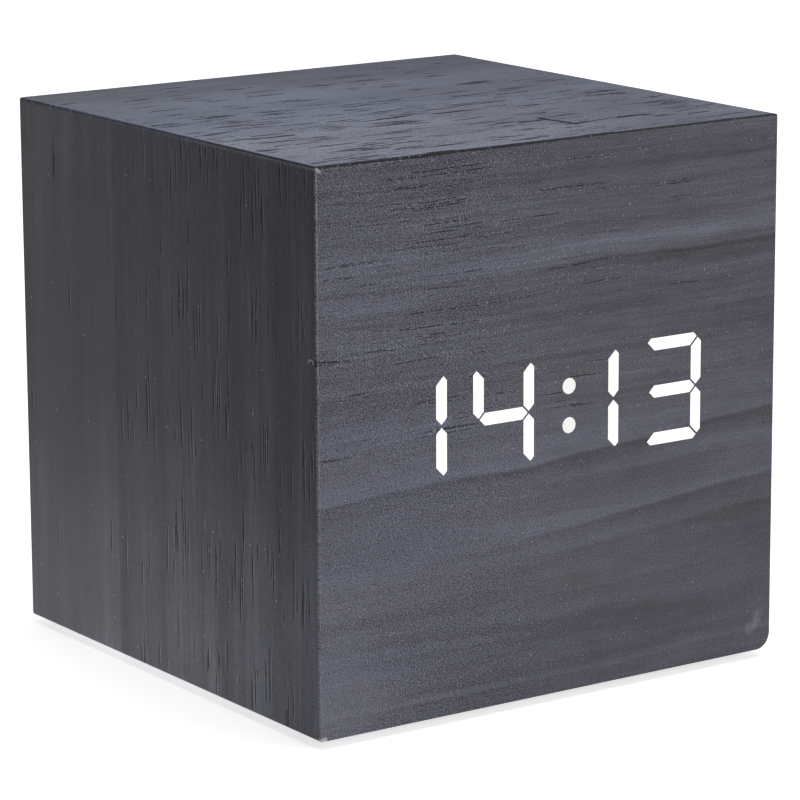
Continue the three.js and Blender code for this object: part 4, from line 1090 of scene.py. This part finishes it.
# Places of the print, as shares of the length of a cell from its flat end.
LINE_PLACE = 0.71
BAND_PLACE = 0.74
SIGNS = {"minus": (0.10, WRAP_SILVER), "plus": (0.86, WRAP_BLUE)}
# In mm: a quarter of the way round a cell, and half the width and half the length of a stroke.
QUARTER_ROUND = 8.25
STROKE_HALF = 0.35
STROKE_REACH = 1.5


def circuit_board_finish():
    material = new_finish("circuit_board", Roughness=0.35, Specular_IOR_Level=0.5)
    where, x, _, z = place_in_mm(material)
    column, row = x * (1 / BOARD_STEP), z * (1 / BOARD_STEP)
    cells = wire_from("ShaderNodeVectorMath", {0: vector_of(column, row)}, operation="FLOOR")
    inputs = {"Vector": cells}
    lots = wire_from("ShaderNodeTexWhiteNoise", inputs, output="Value", noise_dimensions="2D")
    across, upward = sum_of("PINGPONG", column, 0.5), sum_of("PINGPONG", row, 0.5)
    upright_tracks = rise(across, 0.14, 0.19, 1.0, 0.0) * (lots > 0.45)
    level_tracks = rise(upward, 0.14, 0.19, 1.0, 0.0) * (lots < 0.62)
    tracks = larger(upright_tracks, level_tracks)
    tin = rise(distance_of(across, upward), 0.24, 0.28, 1.0, 0.0) * (lots > 0.86)
    weave = sum_of("SINE", x * 14.0) * sum_of("SINE", z * 14.0)
    cloudy = cloud(where, (6.0, 6.0, 6.0), detail=2.0)
    tone = weave * 0.05 + cloudy * 0.06 + tracks * 0.3 + 0.42
    lacquer = tones(tone, [(0.0, (14, 62, 38)), (0.5, (24, 92, 56)), (1.0, (66, 140, 92))])
    colour = painted(tin, lacquer, TIN_COLOUR)
    return finished(material, tracks * 0.6 + tin, 0.04, Base_Color=colour, Metallic=tin * 0.9)


def ribbon_finish():
    """Ten wires lie side by side in the ribbon; the first is red. Ridges and colour follow its width."""
    material = new_finish("grey_ribbon", Roughness=0.45, Specular_IOR_Level=0.4)
    where, x, *_ = place_in_mm(material)
    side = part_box("ribbon_cable")[0].x / MM
    wires = sum_of("PINGPONG", x, 0.5)
    grime = cloud(where, (3.0, 6.0, 3.0), detail=2.0)
    tone = 0.35 + wires * 0.9 + grime * 0.05
    grey = tones(tone, [(0.0, (150, 152, 156)), (0.5, (182, 184, 187)), (1.0, (202, 204, 206))])
    first = rise(x, side + 0.9, side + 1.0, 1.0, 0.0)
    return finished(material, wires, 0.25, Base_Color=painted(first, grey, RED_WIRE))


def printed_sign(along, around, middle, crossed):
    """A minus sign, or a plus sign where it is crossed, on the two sides a quarter of the way round."""
    off_u = abs(along - middle)
    off_v = QUARTER_ROUND - sum_of("PINGPONG", around, QUARTER_ROUND)
    stroke = (off_u < STROKE_HALF) * (off_v < STROKE_REACH)
    if crossed:
        stroke = larger(stroke, (off_v < STROKE_HALF) * (off_u < STROKE_REACH))
    return stroke


def cell_wrap_finish(length):
    """A plain printed film round the cell: a dark blue body, a silver band, and a plus and a minus sign."""
    material = new_finish("cell_wrap", Roughness=0.3, Metallic=0.35, Specular_IOR_Level=0.5)
    where, along, around, _ = place_in_mm(material, "UV")
    streaks = cloud(where, (14.0, 0.8, 1.0), detail=2.0)
    tone = streaks * 0.08 + 0.5
    body = tones(tone, [(0.0, WRAP_BLUE), (1.0, (52, 96, 128))])
    silver = tones(tone, [(0.0, (150, 153, 158)), (1.0, WRAP_SILVER)])
    band = rise(along, length * BAND_PLACE, length * BAND_PLACE + 0.15)
    colour = painted(band, body, silver)
    line = rise(abs(along - length * LINE_PLACE), 0.25, 0.32, 1.0, 0.0)
    colour = painted(line, colour, linear(*WRAP_SILVER))
    for sign in ("plus", "minus"):
        share, ink = SIGNS[sign]
        stroke = printed_sign(along, around, length * share, crossed=sign == "plus")
        colour = painted(stroke, colour, linear(*ink))
    return finished(material, streaks * 0.3, 0.01, Base_Color=colour)


finishes["circuit_board"] = circuit_board_finish()
finishes["grey_ribbon"] = ribbon_finish()
ribbon_low, ribbon_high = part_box("ribbon_cable")
print("the ribbon is", round((ribbon_high.x - ribbon_low.x) / MM, 1), "mm wide")

# %% [markdown]
# The moulded parts at the back have the right shape already, but a moulded edge is never a knife edge.
# Bevelling by hand would mean picking edges one by one. Here a copy of each part is joined up, its flat
# faces are merged, and every edge sharper than 40 degrees is rounded by the same small radius.

# %% Soften the moulded parts
FLAT_ANGLE = math.radians(0.5)
SHARP_ANGLE = math.radians(40)
SHADING_ANGLE = math.radians(35)


def smooth_by_angle(mesh):
    mesh.shade_smooth()
    mesh.set_sharp_from_angle(angle=SHADING_ANGLE)


def softened(node, name, radius):
    """A copy of a part whose sharp edges are rounded, and which stands for that part."""
    build = merged_copy(node)
    bmesh.ops.dissolve_limit(build, angle_limit=FLAT_ANGLE, verts=build.verts, edges=build.edges)
    sharp = [e for e in build.edges if len(e.link_faces) == 2 and e.calc_face_angle() > SHARP_ANGLE]
    bmesh.ops.bevel(
        build, geom=sharp, offset=radius, segments=2, profile=0.5, affect="EDGES", clamp_overlap=True,
    )
    bmesh.ops.remove_doubles(build, verts=build.verts, dist=1e-7)
    bmesh.ops.triangulate(build, faces=[f for f in build.faces if len(f.verts) > 4])
    mesh = bpy.data.meshes.new(name)
    build.to_mesh(mesh)
    build.free()
    slot = slot_of_node[node]
    piece = put_in_scene(name, mesh, finishes[slot])
    smooth_by_angle(mesh)
    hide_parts(node)
    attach(piece, body_of_node[node])
    return piece


for node, name, radius in (
    ("rear_panel", "rear_moulding", 0.10), ("battery_door", "door_moulding", 0.09),
    ("battery_door_latch", "latch_moulding", 0.09), ("reflector", "light_chambers", 0.05),
    ("display_socket", "display_plug", 0.15), ("key_socket", "key_plug", 0.15),
    ("controller_chip", "chip_body", 0.12),
):
    piece = softened(node, name, radius * MM)
    print(name, "has", len(piece.data.polygons), "faces")

# %% [markdown]
# The power inlet is a black block with a round bore and a steel pin on its axis. The pin is part of the
# same solid, so one finish serves both: inside a small radius round the axis it is steel.

# %% Power inlet
inlet_low, inlet_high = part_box("power_inlet")
inlet_middle = (inlet_low + inlet_high) / 2 / MM


def inlet_finish():
    material = new_finish("inlet_plastic_and_pin", Specular_IOR_Level=0.4)
    where, x, _, z = place_in_mm(material)
    off_axis = distance_of(x - inlet_middle.x, z - inlet_middle.z)
    pin = rise(off_axis, 0.75, 0.85, 1.0, 0.0)
    grains = cloud(where, (0.3, 0.3, 0.3), detail=2.0)
    tone = grains * 0.1 + 0.5
    black = tones(tone, [(0.0, (22, 22, 24)), (1.0, (52, 52, 56))])
    steel = tones(tone, [(0.0, (168, 166, 158)), (1.0, (206, 204, 196))])
    return finished(
        material, grains * 0.25 + 0.5, 0.01, Base_Color=painted(pin, black, steel), Metallic=pin,
        Roughness=rise(pin, 0.0, 1.0, 0.42, 0.25),
    )


power_inlet = softened("power_inlet", "inlet_block", 0.10 * MM)
power_inlet.data.materials[0] = inlet_finish()
print("the middle of the inlet is at", [round(c, 1) for c in inlet_middle], "mm")

# %% [markdown]
# Three keys stick out of the panel. A key is a turned cap with a broad flange that keeps it from falling
# out, a dished face for the fingertip, and a raised mark: a triangle up, a triangle down, or a dot.
# A lathe profile makes the cap, and the mark is a small raised prism with a slanted edge.

# %% Keys
KEY_SIDES = 56
DOT_SIDES = 24
MARK_SIZE = 1.3 * MM
MARK_RISE = 0.2 * MM
# In mm, like the profile of a key: how far the flange stands out, and how thick it is.
FLANGE_WIDTH = 0.9
FLANGE_DEPTH = 0.5
PAINT_COLOUR = linear(196, 198, 200)


def turned(build, profile, sides, placed):
    """Adds a closed turned shape, from pairs of radius and height that start and end on the axis."""
    rows = []
    for radius, height in profile:
        angles = [2 * math.pi * i / sides for i in range(sides if radius > 0 else 1)]
        ring = [Vector((radius * math.cos(a), radius * math.sin(a), height)) for a in angles]
        rows.append([build.verts.new(placed @ point) for point in ring])
    faces = []
    for low, high in zip(rows, rows[1:]):
        for i in range(sides):
            j = (i + 1) % sides
            corners = [low[i % len(low)], low[j % len(low)], high[j % len(high)], high[i % len(high)]]
            faces.append(build.faces.new(list(dict.fromkeys(corners))))
    return faces


def key_mark_outline(mark):
    """A round dot, or a triangle that points up or down."""
    if mark == "set":
        angles = [2 * math.pi * i / DOT_SIDES for i in range(DOT_SIDES)]
        return [(math.cos(a) * 0.5, math.sin(a) * 0.5) for a in angles]
    sign = 1 if mark == "up" else -1
    return [(0, sign), (sign, -sign / 2), (-sign, -sign / 2)]


def key_profile(flange, cap, low, rim, face):
    """Pairs of radius and height: the flange, the step to the cap, and the dished face."""
    in_mm = [
        (flange - 0.15, low), (flange, low + 0.12), (flange, rim - 0.1), (flange - 0.1, rim),
        (cap + 0.05, rim), (cap, rim + 0.05), (cap, face - 0.30), (cap - 0.06, face - 0.12),
        (cap - 0.16, face - 0.03), (cap - 0.30, face), (cap - 0.55, face - 0.03),
        (cap - 1.0, face - 0.09), (cap - 1.6, face - 0.13),
    ]
    rounded = [(radius * MM, height * MM) for radius, height in in_mm]
    return [(0, low * MM), *rounded, (0, (face - 0.15) * MM)]


def add_mark(build, mark, middle, face, top):
    """Adds the raised mark, which starts under the face of the key and is a little smaller at its top."""
    corners = [Vector(point) * MARK_SIZE for point in key_mark_outline(mark)]
    rows = []
    for share, y in ((1.0, face - 0.2 * MM), (1.0, top - 0.06 * MM), (0.93, top)):
        places = [(middle.x + x * share, y, middle.z + z * share) for x, z in corners]
        rows.append([build.verts.new(place) for place in places])
    for row, next_row in zip(rows, rows[1:]):
        add_walls(build, row, next_row)
    build.faces.new(rows[-1])
    build.faces.new(rows[0])


def make_key(mark):
    low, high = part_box("key_" + mark)
    middle = (low + high) / 2
    face = high.y - MARK_RISE
    flange = (high.x - low.x) / 2 / MM
    profile = key_profile(flange, flange - FLANGE_WIDTH, low.y / MM, low.y / MM + FLANGE_DEPTH, face / MM)
    axis = Matrix.Translation((middle.x, 0, middle.z)) @ Matrix.Rotation(math.radians(-90), 4, "X")
    build = bmesh.new()
    turned(build, profile, KEY_SIDES, axis)
    add_mark(build, mark, middle, face, high.y)
    return mesh_from(build, "key_cap_" + mark)


def key_finish():
    """Black plastic like the panel, with the marks rubbed over in pale paint."""
    material = moulded_finish("key_plastic", (44, 44, 48), grain=0.22, depth=0.02, roughness=0.42)
    shader = material.node_tree.nodes["Principled BSDF"]
    black = Wire(shader.inputs["Base Color"].links[0].from_socket)
    _, _, y, _ = place_in_mm(material)
    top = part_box("key_up")[1].y / MM
    paint = rise(y, top - 0.12, top - 0.05)
    return finished(material, Base_Color=painted(paint * 0.85, black, PAINT_COLOUR))


finishes["key_plastic"] = key_finish()
for mark in ("set", "up", "down"):
    key = put_in_scene("key_cap_" + mark, make_key(mark), finishes["key_plastic"])
    smooth_by_angle(key.data)
    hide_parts("key_" + mark)
    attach(key, "key_" + mark)
    print("key", mark, "has", len(key.data.polygons), "faces")

# %% [markdown]
# Three slim cells lie behind the battery door. Each has a printed film shrunk round a steel can, a
# rolled shoulder, and a nub at its positive end. The film needs its print to run round the can, so each
# cell is turned with a map of its own: the distance from the flat end, and the distance round.

# %% Cells
CELL_SIDES = 64
cell_boxes = [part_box(f"battery_cell_{i}") for i in (1, 2, 3)]
cell_length = cell_boxes[0][1].x - cell_boxes[0][0].x
cell_radius = (cell_boxes[0][1].z - cell_boxes[0][0].z) / 2
finishes["cell_wrap"] = cell_wrap_finish(cell_length / MM)
# Each point: its radius as a share of the cell's, its height in mm, and 1 where the film covers it. The
# heights of the first list are from the flat end, and those of the second from the tip of the nub.
FLAT_END = [
    (0, 0.25, 0), (0.62, 0.25, 0), (0.74, 0.0, 0), (0.86, 0.0, 0), (0.94, 0.10, 1), (0.985, 0.32, 1),
    (1.0, 0.7, 1),
]
NUB_END = [
    (1.0, -1.8, 1), (0.985, -1.35, 1), (0.93, -1.08, 1), (0.84, -1.0, 1), (0.80, -1.12, 0),
    (0.46, -1.12, 0), (0.40, -0.95, 0), (0.362, -0.35, 0), (0.35, -0.12, 0), (0.31, 0.0, 0), (0, 0.0, 0),
]


def make_cell(number, box):
    """The cells lie side by side, and every second one is turned round."""
    low, high = box
    middle = (low + high) / 2
    leftwards = number % 2 == 1
    build = bmesh.new()
    map_layer = build.loops.layers.uv.new("film")
    profile = [(share * cell_radius, height * MM) for share, height, _ in FLAT_END]
    profile += [(share * cell_radius, cell_length + height * MM) for share, height, _ in NUB_END]
    covered = [film for _, _, film in FLAT_END + NUB_END]
    turn = Matrix.Rotation(math.radians(-90 if leftwards else 90), 4, "Y")
    start = Vector((high.x if leftwards else low.x, middle.y, middle.z))
    placed = Matrix.Translation(start) @ turn
    faces = turned(build, profile, CELL_SIDES, placed)
    round_cell = 2 * math.pi * cell_radius
    back = placed.inverted()
    for index, face in enumerate(faces):
        ring, side = divmod(index, CELL_SIDES)
        face.material_index = 0 if covered[ring] and covered[ring + 1] else 1
        for loop in face.loops:
            point = back @ loop.vert.co
            around = (math.atan2(point.y, point.x) / (2 * math.pi)) % 1.0
            if side == CELL_SIDES - 1 and around < 0.5:
                around += 1.0
            loop[map_layer].uv = (point.z, around * round_cell)
    return mesh_from(build, f"cell_{number}")


for number, box in enumerate(cell_boxes, start=1):
    cell = put_in_scene(f"cell_{number}", make_cell(number, box), finishes["cell_wrap"])
    cell.data.materials.append(finishes["contact_steel"])
    smooth_by_angle(cell.data)
    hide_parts(f"battery_cell_{number}")
    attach(cell, "case")
cell_size = [round(cell_length / MM, 1), round(2 * cell_radius / MM, 1)]
print("the length and the width of a cell are", cell_size, "mm")

# %% [markdown]
# Eight screws hold the clock together: four in the rear panel, two on the display board and two on the
# key board. They're the same thing in three sizes, so one tree of geometry nodes makes them all: a round
# head, hollowed by a cross, on a tapered shank with a thread, put on points and turned at random.

# %% Helpers for trees of geometry
NUMBER = "NodeSocketFloat"


def new_shape_tree(name, inputs):
    """An empty tree with named inputs, each a name, a kind of socket and a value to start from."""
    tree = bpy.data.node_groups.new(name, "GeometryNodeTree")
    tree.interface.new_socket("Points", in_out="INPUT", socket_type="NodeSocketGeometry")
    for label, kind, value in inputs:
        socket = tree.interface.new_socket(label, in_out="INPUT", socket_type=kind)
        if value is not None:
            socket.default_value = value
    tree.interface.new_socket("Shape", in_out="OUTPUT", socket_type="NodeSocketGeometry")
    given = tree.nodes.new("NodeGroupInput").outputs
    return tree, {socket.name: Wire(socket) for socket in given}


def rounded_disc(radius, height, rounding, dish, dome):
    """A disc on the ground whose upper rim is rounded, with a hollow or a domed top."""
    inputs = {"Vertices": 48, "Side Segments": 12, "Fill Segments": 6, "Radius": radius, "Depth": height}
    disc = wire_from("GeometryNodeMeshCylinder", inputs, output="Mesh", fill_type="TRIANGLE_FAN")
    x, y, z = parts_of(wire_from("GeometryNodeInputPosition", {}, tree=radius.tree))
    up = z + height * 0.5
    share = smaller(larger((up - (height - rounding)) / rounding, 0.0), 1.0)
    bend = sum_of("SQRT", sum_of("SUBTRACT", 1.0, share * share, clamp=True))
    narrow = 1.0 - rounding * (1.0 - bend) / radius
    away = (x * x + y * y) / (radius * radius)
    drop = dish * sum_of("SUBTRACT", 1.0, away, clamp=True) + dome * away
    place = vector_of(x * narrow, y * narrow, up - drop * share)
    return wire_from("GeometryNodeSetPosition", {"Geometry": disc, "Position": place})


def end_tree(shape, given, spin):
    """Puts the shape on the points, turns each one round its own axis at random, and makes it all real."""
    inputs = {"Points": given["Points"], "Instance": shape, "Rotation": given["Turn"]}
    on_points = wire_from("GeometryNodeInstanceOnPoints", inputs)
    inputs = {"Min": (0.0, 0.0, 0.0), "Max": (0.0, 0.0, spin), "Seed": given["Seed"]}
    chance = wire_from("FunctionNodeRandomValue", inputs, data_type="FLOAT_VECTOR")
    spun = wire_from("GeometryNodeRotateInstances", {"Instances": on_points, "Rotation": chance})
    real = wire_from("GeometryNodeRealizeInstances", {"Geometry": spun})
    coated = wire_from("GeometryNodeSetMaterial", {"Geometry": real, "Material": given["Finish"]})
    add_node(shape.tree, "NodeGroupOutput", {0: coated})


def made_from(tree, name, points, values):
    """Runs a tree on points with given values, and returns its result as a plain object."""
    mesh = bpy.data.meshes.new(name + "_points")
    mesh.from_pydata([tuple(point) for point in points], [], [])
    carrier = bpy.data.objects.new(name + "_points", mesh)
    modifier = carrier.modifiers.new("shape", "NODES")
    modifier.node_group = tree
    for item in tree.interface.items_tree:
        if item.in_out == "INPUT" and item.name in values:
            modifier[item.identifier] = values[item.name]
    scene.collection.objects.link(carrier)
    evaluated = carrier.evaluated_get(bpy.context.evaluated_depsgraph_get())
    result = bpy.data.meshes.new_from_object(evaluated)
    result.name = name
    carrier.modifiers.remove(modifier)
    bpy.data.objects.remove(carrier)
    piece = bpy.data.objects.new(name, result)
    scene.collection.objects.link(piece)
    smooth_by_angle(result)
    return piece


print("the geometry helpers are ready")

# %% Tree of the screws
def cross_bars(radius, height):
    """Two bars that cross in the top of the head, to be taken out of it."""
    long, thin, deep = radius * 1.25, radius * 0.26, height * 1.1
    place = vector_of(0.0, 0.0, height)
    bars = []
    for size in (vector_of(long, thin, deep), vector_of(thin, long, deep)):
        bar = wire_from("GeometryNodeMeshCube", {"Size": size}, output="Mesh")
        bars.append(wire_from("GeometryNodeTransform", {"Geometry": bar, "Translation": place}))
    return bars


def threaded_shank(shank, length, pitch):
    """A tapered core with a spiral ridge round it, standing on its wide end."""
    core = shank * 0.72
    tip = core * 0.35
    ridge = shank * 0.2
    cone = wire_from("GeometryNodeMeshCone", {
        "Vertices": 24, "Side Segments": 6, "Radius Top": tip, "Radius Bottom": core, "Depth": length,
    }, output="Mesh")
    spiral = wire_from("GeometryNodeCurveSpiral", {
        "Resolution": 20, "Rotations": length / pitch, "Height": length * 0.94,
        "Start Radius": shank - ridge, "End Radius": tip,
    })
    edge = wire_from("GeometryNodeCurvePrimitiveCircle", {"Resolution": 4, "Radius": ridge})
    inputs = {"Curve": spiral, "Profile Curve": edge, "Fill Caps": True}
    return joined(cone, wire_from("GeometryNodeCurveToMesh", inputs))


def joined(first, second):
    join = add_node(first.tree, "GeometryNodeJoinGeometry", {0: first})
    first.tree.links.new(second.socket, join.inputs[0])
    return Wire(join.outputs[0])


def screw_tree():
    tree, given = new_shape_tree("screws", [
        ("Head Radius", NUMBER, 2.0 * MM), ("Head Height", NUMBER, 1.1 * MM),
        ("Shank Radius", NUMBER, 1.0 * MM), ("Shank Length", NUMBER, 8.0 * MM),
        ("Thread Pitch", NUMBER, 0.8 * MM), ("Turn", "NodeSocketRotation", None),
        ("Seed", "NodeSocketInt", 1), ("Finish", "NodeSocketMaterial", None),
    ])
    radius, height = given["Head Radius"], given["Head Height"]
    disc = rounded_disc(radius, height, height * 0.55, 0.0, height * 0.12)
    settings = dict(operation="DIFFERENCE", solver="EXACT")
    hollowed = add_node(tree, "GeometryNodeMeshBoolean", {"Mesh 1": disc}, **settings)
    for bar in cross_bars(radius, height):
        tree.links.new(bar.socket, hollowed.inputs["Mesh 2"])
    shank = threaded_shank(given["Shank Radius"], given["Shank Length"], given["Thread Pitch"])
    under = wire_from("GeometryNodeTransform", {"Geometry": shank, "Rotation": (math.pi, 0, 0)})
    end_tree(joined(Wire(hollowed.outputs[0]), under), given, math.pi)
    return tree


screws = screw_tree()
print("the tree of the screws has", len(screws.nodes), "nodes")

# %% Drive the screws
HEADS_BACK = (math.radians(-90), 0.0, 0.0)
HEADS_FRONT = (math.radians(90), 0.0, 0.0)


def drive_screws(name, nodes, head_height, shank_radius, turn, seed):
    """Measures the screws of a row by their boxes, and makes them all in one object."""
    boxes = [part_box(node) for node in nodes]
    low, high = boxes[0]
    points = []
    for low_corner, high_corner in boxes:
        middle = (low_corner + high_corner) / 2
        y = high_corner.y - head_height if turn is HEADS_BACK else low_corner.y + head_height
        points.append((middle.x, y, middle.z))
    piece = made_from(screws, name, points, {
        "Head Radius": (high.x - low.x) / 2, "Head Height": head_height, "Shank Radius": shank_radius,
        "Shank Length": high.y - low.y - head_height, "Thread Pitch": 0.8 * shank_radius, "Turn": turn,
        "Seed": seed, "Finish": finishes["screw_steel"],
    })
    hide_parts(*nodes)
    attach(piece, "case")
    print(name, "has", len(piece.data.polygons), "faces")


SIDES = ("left", "right")
PANEL_SCREWS = [f"panel_screw_{level}_{side}" for level in ("lower", "upper") for side in SIDES]
DISPLAY_SCREWS = [f"display_screw_{side}" for side in SIDES]
KEY_BOARD_SCREWS = [f"key_board_screw_{side}" for side in SIDES]
drive_screws("panel_screws", PANEL_SCREWS, 1.1 * MM, 1.0 * MM, HEADS_BACK, seed=3)
drive_screws("display_screws", DISPLAY_SCREWS, 0.8 * MM, 0.7 * MM, HEADS_BACK, seed=5)
drive_screws("key_board_screws", KEY_BOARD_SCREWS, 0.8 * MM, 0.7 * MM, HEADS_FRONT, seed=8)

# %% [markdown]
# Four rubber feet are stuck under the case. They're discs with a rounded rim and a faint hollow, pressed
# out of sheet. The disc of the screw head serves again, upside down, on four points.

# %% Feet
def foot_tree():
    _, given = new_shape_tree("feet", [
        ("Radius", NUMBER, 4.0 * MM), ("Height", NUMBER, 1.0 * MM), ("Rounding", NUMBER, 0.35 * MM),
        ("Hollow", NUMBER, 0.08 * MM), ("Turn", "NodeSocketRotation", None),
        ("Seed", "NodeSocketInt", 1), ("Finish", "NodeSocketMaterial", None),
    ])
    disc = rounded_disc(given["Radius"], given["Height"], given["Rounding"], given["Hollow"], 0.0)
    end_tree(disc, given, math.pi)
    return disc.tree


FEET = [f"foot_{end}_{side}" for end in ("front", "rear") for side in SIDES]
foot_boxes = [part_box(node) for node in FEET]
foot_low, foot_high = foot_boxes[0]
foot_points = [((low.x + high.x) / 2, (low.y + high.y) / 2, high.z) for low, high in foot_boxes]
feet = made_from(foot_tree(), "rubber_feet", foot_points, {
    "Radius": (foot_high.x - foot_low.x) / 2, "Height": foot_high.z - foot_low.z,
    "Turn": (math.pi, 0.0, 0.0), "Seed": 2, "Finish": finishes["foot_rubber"],
})
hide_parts(*FEET)
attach(feet, "case")
print("the feet have", len(feet.data.polygons), "faces")

# %% [markdown]
# Everything else already has its true shape: boards, switches, contacts with their springs, leads and
# the ribbon. These parts stay as they come and only take the finish of their material.

# %% Finishes of the parts that keep their shape
for node, piece in cad_nodes.items():
    if node.startswith("light_guide"):
        finish = colon_light if "colon" in node else digit_light
    else:
        finish = finishes[slot_of_node[node]]
    piece.data.materials.clear()
    piece.data.materials.append(finish)
print("every part has a finish")
